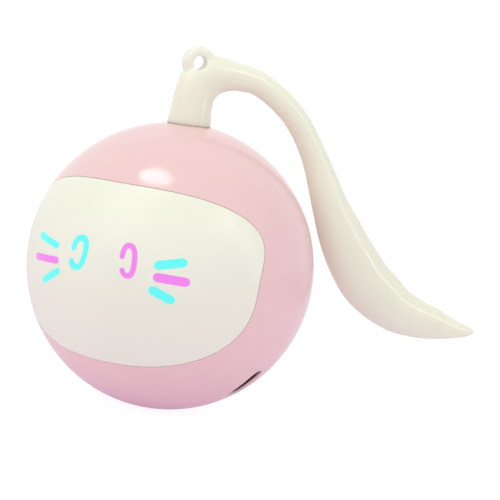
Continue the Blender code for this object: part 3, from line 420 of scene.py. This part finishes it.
def moulded(name, colour, shade, gloss, grain, patch=flow_patch):
    """Moulded plastic: a trace of flow in the colour, a gloss that drifts, and a fine grain in the skin."""
    material, shader, place = new_finish(name)
    flow = shaded(material, cloudy(material, place, patch), colour, shade)
    plug(material, flow, shader.inputs["Base Color"])
    plug(material, drift(material, cloudy(material, place, patch / 2), *gloss), shader.inputs["Roughness"])
    raised(material, shader, cloudy(material, place, grain), skin_relief, skin_depth)
    return material


def tune(material, values):
    """Set what is the same all over a finish on its shader's own sockets."""
    for name, value in values.items():
        material.node_tree.nodes["Principled BSDF"].inputs[name].default_value = value


def dress(material, *pieces):
    """Lay a finish on pieces of the scene, or on CAD pieces by name."""
    for piece in pieces:
        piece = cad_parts[piece] if isinstance(piece, str) else piece
        piece.data.materials.clear()
        piece.data.materials.append(material)


pink_abs = moulded("pink_abs", (0.872, 0.612, 0.632), (0.857, 0.59, 0.614), (0.12, 0.16), 0.0006)
tune(pink_abs, {"IOR": 1.54})
dress(pink_abs, shell)


# Face cover
# A domed plate of milky ivory plastic, set flush in the opening with a hair of a gap all round.
# Two posts behind it carry the light board, and eight windows are cut right through it.

face_inner = 0.031
seam = 0.00012
face_rows, face_inside_rows = 60, 20
face_post_height, face_post_radius, face_post_face = 0.0095, 0.002, 0.0238
face_screw_depth = 0.0024


def face_cover():
    """The cover before its posts and windows."""
    builder = bmesh.new()
    rim = moved_outwards(face_edge, -seam - edge_round)
    rings = rows_to(builder, rim, face_middle, ball_radius, face_rows)[::-1]
    for grow, radius in round_over(edge_round)[1:]:
        rings.append(ring_of(builder, moved_outwards(face_edge, -seam - grow), radius))
    rings += rows_to(builder, moved_outwards(face_edge, -seam), face_middle, face_inner, face_inside_rows)
    skin_over(builder, rings)
    return piece_from("face_cover", builder)


cover = face_cover()
for z in (-face_post_height, face_post_height):
    post_place = frame_of(right, -back, up * z)
    wall = sqrt(face_inner ** 2 - z * z) + edge_round
    work_with(cover, "UNION", round_bar(face_post_radius, face_post_face, wall, post_place))
    work_with(cover, "DIFFERENCE", round_bar(screw_hole_radius, face_post_face - fuse_depth,
                                             face_post_face + face_screw_depth, post_place))

ivory_abs = moulded("ivory_abs", (0.882, 0.90, 0.784), (0.867, 0.885, 0.77), (0.28, 0.34), 0.0006)


# Light windows
# Two eyes, each a ring that is open on one side, and six whisker bars, all clear tinted inserts.
# They sit flush in the face cover, and the lamps on the light board make them glow cyan and pink.

# Each eye: middle, half width, width of its line and how far it leans
eyes = {
    "left": (Vector((-0.00623, 0.00345)), 0.0017, 0.0014, radians(4.9)),
    "right": (Vector((0.00587, 0.00369)), 0.00138, 0.00118, radians(-4.6)),
}
eye_half_height, eye_power = 0.00317, 2.4
eye_gap_start, eye_gap_end = radians(170), radians(221)
# Each whisker: the middles of its inner and outer ends
whiskers = {
    "left_upper": (Vector((-0.01296, 0.00376)), Vector((-0.01897, 0.00488))),
    "left_middle": (Vector((-0.01239, 0.00062)), Vector((-0.01942, 0.00016))),
    "left_lower": (Vector((-0.01166, -0.00165)), Vector((-0.01576, -0.00431))),
    "right_upper": (Vector((0.01231, 0.00372)), Vector((0.01652, 0.00482))),
    "right_middle": (Vector((0.01249, 0.00113)), Vector((0.01758, 0.00087))),
    "right_lower": (Vector((0.01189, -0.00177)), Vector((0.01522, -0.00323))),
}
left_line, right_line = 0.00156, 0.00198
window_gap = 0.00001
cap_steps = 16
side_steps = 12
eye_steps = 72
window_gloss = (0.28, 0.34)
window_grain, window_patch = 0.0006, 0.003
window_shade = 0.96
window_glow = 0.66


def round_end(start, end):
    """Points of the half circle from one side of a line to the other."""
    middle, side = (start + end) / 2, (start - end) / 2
    ahead = Vector((-side.y, side.x))
    turns = [pi * k / cap_steps for k in range(1, cap_steps)]
    return [middle + side * cos(t) + ahead * sin(t) for t in turns]


def eye_ring(side, grow):
    """The rim and the hole of an open ring, as two runs of points that face each other."""
    middle, half_width, line, lean = eyes[side]
    half_line = line / 2 + grow
    start = eye_gap_end - 2 * pi
    rim, hole = [], []
    for i in range(eye_steps + 1):
        turn = start + (eye_gap_start - start) * i / eye_steps
        across = copysign(abs(cos(turn)) ** (2 / eye_power), cos(turn))
        along = copysign(abs(sin(turn)) ** (2 / eye_power), sin(turn))
        for run, offset in ((rim, half_line), (hole, -half_line)):
            height = (eye_half_height + offset) * along
            run.append(middle + Vector(((half_width + offset) * across + height * tan(lean), height)))
    return rim, hole


def whisker_bar(place, grow):
    """The two sides of a bar, as two runs of points that face each other."""
    inner, outer = whiskers[place]
    slope = (outer - inner).normalized()
    line = left_line if place.startswith("left") else right_line
    across = Vector((slope.y, -slope.x)) * (line / 2 + grow)
    steps = [k / side_steps for k in range(side_steps + 1)]
    return [[inner.lerp(outer, s) + across * way for s in steps] for way in (1, -1)]


def closed_mark(near, far):
    """Two facing runs joined by round ends, as pairs of points across the mark."""
    start_cap = round_end(far[0], near[0])
    end_cap = round_end(near[-1], far[-1])
    half = cap_steps // 2
    tip_in, tip_out = start_cap[half - 1], end_cap[half - 1]
    pairs = list(zip(start_cap[half:], reversed(start_cap[:half - 1])))
    pairs += list(zip(near, far))
    pairs += list(zip(end_cap[:half - 1], reversed(end_cap[half:])))
    return tip_in, pairs, tip_out


def mark_block(mark, low, high):
    """A mark carried through the face towards the ball's centre."""
    builder = bmesh.new()
    tip_in, pairs, tip_out = mark

    def at(point, radius):
        """A new point of the mesh, where a point of the mark is seen on the ball."""
        return builder.verts.new(ball_centre + on_ball(point.x, point.y) * radius)

    skins = []
    for radius in (low, high):
        near = [at(a, radius) for a, b in pairs]
        far = [at(b, radius) for a, b in pairs]
        first, last = at(tip_in, radius), at(tip_out, radius)
        builder.faces.new((first, near[0], far[0]))
        for i in range(len(pairs) - 1):
            builder.faces.new((near[i], near[i + 1], far[i + 1], far[i]))
        builder.faces.new((near[-1], last, far[-1]))
        skins.append([first] + near + [last] + far[::-1])
    skin_between(builder, *skins)
    return builder


def glowing(name, colour, glow):
    """Tinted clear plastic with a lamp behind it, and a faint grain."""
    shade = tuple(part * window_shade for part in colour)
    material = moulded(name, colour, shade, window_gloss, window_grain, window_patch)
    tune(material, {"Emission Color": (*glow, 1), "Emission Strength": window_glow})
    return material


marks = [(f"{side}_eye_window", "cyan" if side == "left" else "pink",
          lambda grow, side=side: closed_mark(*eye_ring(side, grow))) for side in eyes]
marks += [(f"{place}_whisker_window", "pink" if "middle" in place else "cyan",
           lambda grow, place=place: closed_mark(*whisker_bar(place, grow))) for place in whiskers]

glows = {
    "cyan": glowing("cyan_window", (0.04, 0.30, 0.29), (0.13, 1.0, 0.98)),
    "pink": glowing("pink_window", (0.29, 0.08, 0.28), (0.90, 0.24, 0.88)),
}
for node, colour, mark in marks:
    work_with(cover, "DIFFERENCE", mark_block(mark(0.0), face_inner - fuse_depth, ball_radius + fuse_depth))
    insert = mark_block(mark(-window_gap), face_inner, ball_radius)
    window = piece_from(node.replace("window", "light"), insert)
    polish_as_ball(window)
    dress(glows[colour], window)
    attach(window, "ball")
    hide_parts(node)

# The cover is polished and finished once its windows are cut
polish_as_ball(cover)
dress(ivory_abs, cover)
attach(cover, "ball")
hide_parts("face_panel")


# Tail
# One soft silicone moulding, satin to the touch: a plug under the shell's skin, a column that bends
# over, a lanyard ring at the bend, and a leaf shaped end that flicks out as the ball rolls.

tail_azimuth = radians(38.7)
tail_turn = radians(96.4)
tail_lift = 0.0431
tail_width, tail_thickness = 0.0124, 0.0084
tail_neck_radius = 0.003
tail_plug_radius, tail_plug_low, tail_plug_top = 0.0046, 0.0281, 0.0294
tail_seat_gap = 0.00004
tail_foot_bed = 0.0003
tail_sides, tail_steps = 56, 190
slope_step = 0.1
ring_radius, ring_hole_radius = 0.00365, 0.00155
ring_half_thickness, ring_edge = 0.002, 0.0011
ring_height, ring_across = 0.01385, 0.0004
ring_edge_steps, ring_hole_steps = 5, 48
# Each row: share of the turn, of the lift, of the width, of the thickness
tail_route_shares = [
    (0.000, 0.007, 0.800, 1.100),
    (0.002, 0.081, 0.745, 1.060),
    (0.006, 0.151, 0.730, 1.000),
    (0.020, 0.216, 0.790, 0.930),
    (0.054, 0.265, 0.745, 0.860),
    (0.106, 0.290, 0.565, 0.760),
    (0.152, 0.302, 0.485, 0.680),
    (0.204, 0.307, 0.448, 0.650),
    (0.330, 0.273, 0.445, 0.650),
    (0.457, 0.216, 0.472, 0.680),
    (0.524, 0.190, 0.530, 0.730),
    (0.593, 0.170, 0.610, 0.790),
    (0.665, 0.163, 0.697, 0.860),
    (0.737, 0.176, 0.825, 0.930),
    (0.805, 0.205, 0.911, 0.980),
    (0.867, 0.255, 0.978, 1.000),
    (0.920, 0.322, 1.000, 1.000),
    (0.958, 0.414, 0.975, 0.970),
    (0.985, 0.516, 0.868, 0.890),
    (0.997, 0.632, 0.745, 0.780),
    (1.001, 0.749, 0.600, 0.630),
    (1.003, 0.867, 0.365, 0.420),
    (1.001, 0.955, 0.200, 0.240),
]
voxel = 0.00022
soften_share, soften_rounds = 0.5, 8


def smooth(values, position):
    """Read a smooth curve through a list of numbers at a place between them."""
    k = min(int(position), len(values) - 2)
    part = position - k
    before, after = values[max(k - 1, 0)], values[min(k + 2, len(values) - 1)]
    a, b = values[k], values[k + 1]
    slope_a, slope_b = (b - before) / 2, (after - a) / 2
    return (a * (1 + 2 * part) * (1 - part) ** 2 + slope_a * part * (1 - part) ** 2
            + b * part ** 2 * (3 - 2 * part) - slope_b * part ** 2 * (1 - part))


def tail_station(position):
    """Middle, half width and half thickness of the tail at a place along it."""
    turn, lift, width, thickness = (smooth(column, position) for column in zip(*tail_route_shares))
    radius = ball_radius + tail_lift * lift
    angle = tail_turn * turn
    middle = Vector((radius * sin(angle), radius * cos(angle)))
    return middle, tail_width * width / 2, tail_thickness * thickness / 2


def tail_body(place):
    """The plug, the column and the leaf, as one skin over rings."""
    builder = bmesh.new()
    seat = ball_radius + tail_seat_gap
    plug_profile = [(0, tail_plug_low), (tail_plug_radius, tail_plug_low), (tail_plug_radius, tail_plug_top),
                    (tail_neck_radius, tail_plug_top), (tail_neck_radius, seat)]
    rings = [hoop(builder, place, *point, tail_sides) for point in plug_profile]
    turns = [2 * pi * i / tail_sides for i in range(tail_sides)]
    last = len(tail_route_shares) - 1
    for index in range(tail_steps + 1):
        at = last * index / tail_steps
        middle, half_width, half_thickness = tail_station(at)
        ahead = tail_station(min(at + slope_step, last))[0] - tail_station(max(at - slope_step, 0))[0]
        ahead.normalize()
        points = []
        for t in turns:
            flat = middle + Vector((ahead.y, -ahead.x)) * half_width * cos(t)
            side = half_thickness * sin(t)
            points.append((flat.x, side, flat.y if index else sqrt(seat ** 2 - flat.x ** 2 - side ** 2)))
        rings.append(placed(builder, place, points))
    tip = ball_radius + tail_lift
    rings.append(placed(builder, place, [(tip * sin(tail_turn), 0, tip * cos(tail_turn))]))
    skin_over(builder, rings)
    return piece_from("silicone_tail", builder)


def lanyard_ring(place):
    """A thick washer with round edges that stands on the bend."""
    builder = bmesh.new()
    half = [(0, ring_half_thickness)]
    for k in reversed(range(ring_edge_steps + 1)):
        turn = pi / 2 * k / ring_edge_steps
        radius = ring_radius - ring_edge * (1 - cos(turn))
        half.append((radius, ring_half_thickness - ring_edge * (1 - sin(turn))))
    profile = half + [(radius, -height) for radius, height in reversed(half)]
    skin_over(builder, [hoop(builder, place, *point, fine_round_steps) for point in profile])
    return builder


outward = Vector((cos(tail_azimuth), sin(tail_azimuth), 0))
tail_place = frame_of(outward, up)
ring_place = frame_of(outward, up.cross(outward), outward * ring_across + up * (ball_radius + ring_height))
tail = tail_body(tail_place)
work_with(tail, "UNION", lanyard_ring(ring_place))
work_with(tail, "DIFFERENCE", round_bar(ring_hole_radius, -tail_width, tail_width, ring_place,
                                        ring_hole_steps))

# The ring and the bend run into each other softly, as they do in one moulding
melt = tail.modifiers.new("melt", "REMESH")
melt.mode = "VOXEL"
melt.voxel_size = voxel
melt.use_smooth_shade = True
soften = tail.modifiers.new("soften", "SMOOTH")
soften.factor = soften_share
soften.iterations = soften_rounds
tail.data = bpy.data.meshes.new_from_object(tail.evaluated_get(bpy.context.evaluated_depsgraph_get()))
tail.modifiers.clear()

# The foot beds down on the ball's skin all round the hole
for vertex in tail.data.vertices:
    spoke = vertex.co - ball_centre
    off_the_skin = spoke.length - ball_radius - tail_seat_gap
    outside_the_hole = spoke.xy.length > tail_neck_radius + tail_foot_bed
    if abs(off_the_skin) < tail_foot_bed and outside_the_hole and spoke.z > shell_inner:
        vertex.co = vertex.co - spoke.normalized() * off_the_skin

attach(tail, "tail")
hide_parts("tail")
satin_silicone = moulded("satin_silicone", (0.858, 0.873, 0.748), (0.84, 0.852, 0.728), (0.15, 0.20), 0.0007)
tune(satin_silicone, {"Subsurface Weight": 0.5, "Subsurface Radius": (0.003, 0.0025, 0.002),
                      "Subsurface Scale": 1.0})
dress(satin_silicone, tail)


# Power button
# A small domed cap of the shell's own pink, held under the skin by its flange.
# It lies flush in its hole behind the ball's foot, and springs back when pressed.

button_recess, button_edge = 0.0002, 0.0003
button_flange, button_flange_low, button_flange_top = 0.0011, 0.0287, 0.0295
button_edge_steps, button_rows = 4, 8


def button_cap():
    """The flange, the wall, its rounded edge and the domed top."""
    top = ball_radius - button_recess
    flange_radius = button_radius + button_flange
    profile = [(0, button_flange_low), (flange_radius, button_flange_low),
               (flange_radius, button_flange_top), (button_radius, button_flange_top)]
    for k in range(button_edge_steps + 1):
        turn = pi / 2 * k / button_edge_steps
        radius = button_radius - button_edge * (1 - cos(turn))
        profile.append((radius, sqrt(top ** 2 - radius ** 2) - button_edge * (1 - sin(turn))))
    for k in range(1, button_rows):
        radius = (button_radius - button_edge) * (1 - k / button_rows)
        profile.append((radius, sqrt(top ** 2 - radius ** 2)))
    profile.append((0, top))
    builder = bmesh.new()
    skin_over(builder, [hoop(builder, button_place, *point, fine_round_steps) for point in profile])
    return piece_from("power_cap", builder)


cap = button_cap()
dress(pink_abs, cap)
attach(cap, "button")
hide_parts("power_button")


# Light board
# A green glass fibre board screwed to the face cover's two posts, with a white lamp behind every window.
# The CAD shapes stay, and their finishes are laid on by name.

runs_per_metre, run_gap, run_stagger = 220.0, 0.03, 0.5
run_relief, run_depth = 0.4, 0.00003
lacquer_patch, lacquer_gloss = 0.004, (0.28, 0.4)
lacquer, deeper_lacquer, over_copper = (0.025, 0.19, 0.08, 1), (0.02, 0.16, 0.07, 1), (0.06, 0.32, 0.14, 1)
streak_stretch, streak_detail = (0.15, 1.0, 1.0), 3.0
streak_relief, streak_depth = 0.25, 0.00001


def numbered(pattern, *endings):
    """Names of like pieces that differ in their endings."""
    return [pattern.format(ending) for ending in endings]


def circuit_board(name):
    """Green lacquer over copper runs that show through as lighter lines."""
    material, shader, place = new_finish(name)
    inputs = {"Vector": place, "Scale": runs_per_metre, "Mortar Size": run_gap,
              "Color1": deeper_lacquer, "Color2": lacquer, "Mortar": over_copper}
    runs = wired(material, "ShaderNodeTexBrick", inputs, offset=run_stagger)
    plug(material, runs.outputs["Color"], shader.inputs["Base Color"])
    patches = cloudy(material, place, lacquer_patch)
    plug(material, drift(material, patches, *lacquer_gloss), shader.inputs["Roughness"])
    raised(material, shader, runs.outputs["Fac"], run_relief, run_depth)
    return material


def metal(name, colour, shade, gloss, streak):
    """Turned or pressed metal: streaks from the tool, and a gloss that drifts along them."""
    material, shader, place = new_finish(name)
    stretched = wired(material, "ShaderNodeMapping", {"Vector": place, "Scale": streak_stretch})
    streaks = cloudy(material, stretched.outputs["Vector"], streak, streak_detail)
    plug(material, shaded(material, streaks, colour, shade), shader.inputs["Base Color"])
    plug(material, drift(material, streaks, *gloss), shader.inputs["Roughness"])
    raised(material, shader, streaks, streak_relief, streak_depth)
    tune(material, {"Metallic": 1.0})
    return material


board_green = circuit_board("board_green")
lamp_white = moulded("lamp_white", (0.90, 0.88, 0.70), (0.86, 0.83, 0.62), (0.28, 0.36), 0.0002, 0.0008)
tune(lamp_white, {"Emission Color": (1.0, 0.97, 0.9, 1), "Emission Strength": 0.4})
bright_steel = metal("bright_steel", (0.62, 0.62, 0.63), (0.54, 0.54, 0.55), (0.28, 0.38), 0.0005)
dress(board_green, "light_board")
dress(lamp_white, *(node.replace("window", "led") for node, colour, mark in marks))
dress(bright_steel, *numbered("light_board_screw_{}", "upper", "lower"))


# Drive frame
# Two moulded plates stand square to the axle, screwed by their feet to the posts on the shell's back wall.
# The right one has the battery's shelf, and each has a flanged brass bush where the axle turns.

frame_white = moulded("frame_white", (0.80, 0.80, 0.78), (0.77, 0.77, 0.75), (0.36, 0.46), 0.0004)
turned_brass = metal("turned_brass", (0.76, 0.56, 0.26), (0.68, 0.48, 0.20), (0.28, 0.36), 0.0004)
dress(frame_white, "left_side_plate", "right_side_plate")
dress(turned_brass, "left_bush", "right_bush")
dress(bright_steel, *numbered("left_side_plate_screw_{}", "upper", "lower"),
      *numbered("right_side_plate_screw_{}", "upper", "lower"))


# Weight on its axle
# A fan shaped steel weight is screwed to a moulded arm that swings on a ground steel axle.
# As the motor drives the axle's gear the weight climbs, and the ball rolls after it.

plated_steel = metal("plated_weight", (0.50, 0.50, 0.51), (0.40, 0.40, 0.42), (0.3, 0.46), 0.0012)
dress(bright_steel, "axle", "axle_clip", *numbered("weight_screw_{}", 1, 2))
dress(frame_white, "weight_arm")
dress(plated_steel, "steel_weight")


# Gears and motor
# A brass pinion on the motor's shaft turns a moulded idler, which turns the gear on the axle.
# The cover holds the idler's pin and cradles the motor's can, and four screws hold it to the plate.

acetal = moulded("acetal", (0.86, 0.84, 0.76), (0.83, 0.81, 0.73), (0.28, 0.38), 0.0003, 0.004)
black_nylon = moulded("black_nylon", (0.03, 0.03, 0.033), (0.022, 0.022, 0.025), (0.38, 0.5), 0.0003, 0.003)
drawn_can = metal("drawn_can", (0.66, 0.66, 0.67), (0.58, 0.58, 0.60), (0.28, 0.40), 0.0009)
dress(acetal, "main_gear", "idler_gear")
dress(bright_steel, "idler_pin",
      *numbered("gearbox_screw_{}", "front_upper", "front_lower", "back_upper", "back_lower"))
dress(turned_brass, "motor_pinion")
dress(frame_white, "gearbox_cover")
dress(drawn_can, "motor")
dress(black_nylon, "motor_end_cap")


# Main board, charging socket and battery
# The socket's steel shell sits on the main board just behind the slot in the outer shell.
# The board and the foil wrapped battery are on either side of the right plate's shelf.

battery_foil = metal("battery_foil", (0.60, 0.62, 0.66), (0.52, 0.54, 0.58), (0.36, 0.5), 0.0016)
dress(board_green, "main_board")
dress(black_nylon, "control_chip")
dress(bright_steel, "charging_socket", *numbered("main_board_screw_{}", 1, 2))
dress(battery_foil, "battery")


# Switch
# The button's foot presses a plunger into a sealed switch, on a small board of its own
# that two screws hold to posts inside the shell.

dress(black_nylon, "switch_plunger")
dress(bright_steel, "power_switch", *numbered("switch_board_screw_{}", 1, 2))
dress(board_green, "switch_board")


# Studio
# A pale floor and a white surround. An oval softbox hangs overhead, with a broad soft light at the upper
# left, a weak one low on the left, a small square one at the right, and a tall strip beside the tail.

camera_azimuth, camera_elevation, camera_roll = radians(26.7), radians(7.0), radians(7.4)
camera_distance = ball_radius * 14
camera_near, camera_far = 0.01, 10
sensor_millimetres = 36
photo_size = 500
photo_ball_middle = (170.5, 265.7)
photo_ball_radius = 143.6

toward_camera = Vector((sin(camera_azimuth) * cos(camera_elevation),
                        -cos(camera_azimuth) * cos(camera_elevation), sin(camera_elevation)))
level = Vector((cos(camera_azimuth), sin(camera_azimuth), 0))
upright = toward_camera.cross(level)
camera_right = level * cos(camera_roll) + upright * sin(camera_roll)
camera_up = upright * cos(camera_roll) - level * sin(camera_roll)

# The camera is turned off the ball's middle, so that the whole toy and not the ball fills the frame
focal_pixels = photo_ball_radius * sqrt(camera_distance ** 2 - ball_radius ** 2) / ball_radius
to_the_right = (photo_size / 2 - photo_ball_middle[0]) / focal_pixels
upwards = (photo_ball_middle[1] - photo_size / 2) / focal_pixels
camera_back = (toward_camera - camera_right * to_the_right - camera_up * upwards).normalized()

optics = bpy.data.cameras.new("photo_camera")
optics.sensor_width = sensor_millimetres
optics.lens = sensor_millimetres * focal_pixels / photo_size
optics.clip_start, optics.clip_end = camera_near, camera_far
camera = bpy.data.objects.new("photo_camera", optics)
camera.matrix_world = frame_of(camera_right - camera_back * camera_right.dot(camera_back), camera_back,
                               toward_camera * camera_distance)
bpy.context.scene.collection.objects.link(camera)
bpy.context.scene.camera = camera

# Each lamp: its form, colour, watts and size, where it hangs and where its length points, both as the
# photograph sees them (right, up, toward the camera), and how far off it is
lamps = {
    "overhead": ("ELLIPSE", (1.0, 1.0, 0.98), 0.52, (0.235, 0.148),
                 (-0.155, 0.945, 0.285), (0.70, 0, 0.60), 0.6),
    "upper_left": ("RECTANGLE", (1.0, 0.99, 0.96), 2.66, (0.9, 0.9),
                   (-0.59, 0.64, 0.55), (1, 0, 0), 1.2),
    "right_upper": ("RECTANGLE", (1.0, 0.96, 0.96), 0.42, (0.20, 0.20),
                    (0.66, 0.49, 0.58), (1, 0, 0), 0.8),
    "right_strip": ("RECTANGLE", (1.0, 0.99, 0.97), 0.31, (0.42, 0.03),
                    (0.9, 0.1, 0.4), (0.22, -0.92, -0.26), 0.7),
    "left_side": ("RECTANGLE", (0.96, 1.0, 0.95), 0.68, (0.6, 0.6),
                  (-0.85, -0.35, 0.40), (0, 1, 0), 1.0),
}


def seen_toward(x, y, z):
    """A direction given as the photograph sees it: right, up and toward the camera."""
    return camera_right * x + camera_up * y + toward_camera * z


def softbox(name, form, colour, watts, size, toward, side, distance):
    """An area light that faces the ball from a direction, with its length along a side."""
    light = bpy.data.lights.new(name, "AREA")
    light.shape = form
    light.size, light.size_y = size
    light.color = colour
    light.energy = watts
    lamp = bpy.data.objects.new(name, light)
    bpy.context.scene.collection.objects.link(lamp)
    toward, side = seen_toward(*toward).normalized(), seen_toward(*side)
    lamp.matrix_world = frame_of(side - toward * side.dot(toward), toward, toward * distance)


for name, lamp in lamps.items():
    softbox(name, *lamp)


def either(owner, *kinds):
    """One for a ray of any of the named kinds, and nought for the others."""
    ray = wired(owner, "ShaderNodeLightPath", {})
    chosen = ray.outputs[kinds[0]]
    for kind in kinds[1:]:
        larger = wired(owner, "ShaderNodeMath", {0: chosen, 1: ray.outputs[kind]}, operation="MAXIMUM")
        chosen = larger.outputs[0]
    return chosen


sky_colour = (0.69, 0.70, 0.653, 1)
world = bpy.data.worlds.new("surround")
bpy.context.scene.world = world
world.use_nodes = True
sky = world.node_tree.nodes["Background"]
sky.inputs["Color"].default_value = sky_colour
white = wired(world, "ShaderNodeBackground", {"Color": (1, 1, 1, 1), "Strength": 1.0})
seen = either(world, "Is Camera Ray", "Is Glossy Ray", "Is Transmission Ray")
surround = wired(world, "ShaderNodeMixShader", {"Fac": seen, 1: sky.outputs[0], 2: white.outputs[0]})
plug(world, surround.outputs[0], world.node_tree.nodes["World Output"].inputs["Surface"])

# White paper to the camera, and a duller, slightly violet bounce to the ball
floor_size, floor_squares = 3.0, 8
paper_colour, paper_glow = (0.30, 0.30, 0.30, 1), 0.86
bounce_colour, spill_colour = (0.62, 0.58, 0.60, 1), (0.312, 0.25, 0.358, 1)

floor_mesh = bmesh.new()
bmesh.ops.create_grid(floor_mesh, x_segments=floor_squares, y_segments=floor_squares, size=floor_size / 2)
floor = piece_from("floor", floor_mesh)
paper, unused_shader, place = new_finish("white_paper")
paper.node_tree.nodes.remove(unused_shader)
sheet = wired(paper, "ShaderNodeBsdfDiffuse", {"Color": paper_colour})
sheet_glow = wired(paper, "ShaderNodeEmission", {"Strength": paper_glow})
to_camera = wired(paper, "ShaderNodeAddShader", {0: sheet.outputs[0], 1: sheet_glow.outputs[0]})
bounce = wired(paper, "ShaderNodeBsdfDiffuse", {"Color": bounce_colour})
spill = wired(paper, "ShaderNodeEmission", {"Color": spill_colour})
to_the_ball = wired(paper, "ShaderNodeAddShader", {0: bounce.outputs[0], 1: spill.outputs[0]})
top_side = wired(paper, "ShaderNodeMixShader", {"Fac": either(paper, "Is Camera Ray"),
                                                1: to_the_ball.outputs[0], 2: to_camera.outputs[0]})
plug(paper, top_side.outputs[0], paper.node_tree.nodes["Material Output"].inputs["Surface"])
floor.data.materials.append(paper)

bpy.context.scene.view_settings.view_transform = "Standard"
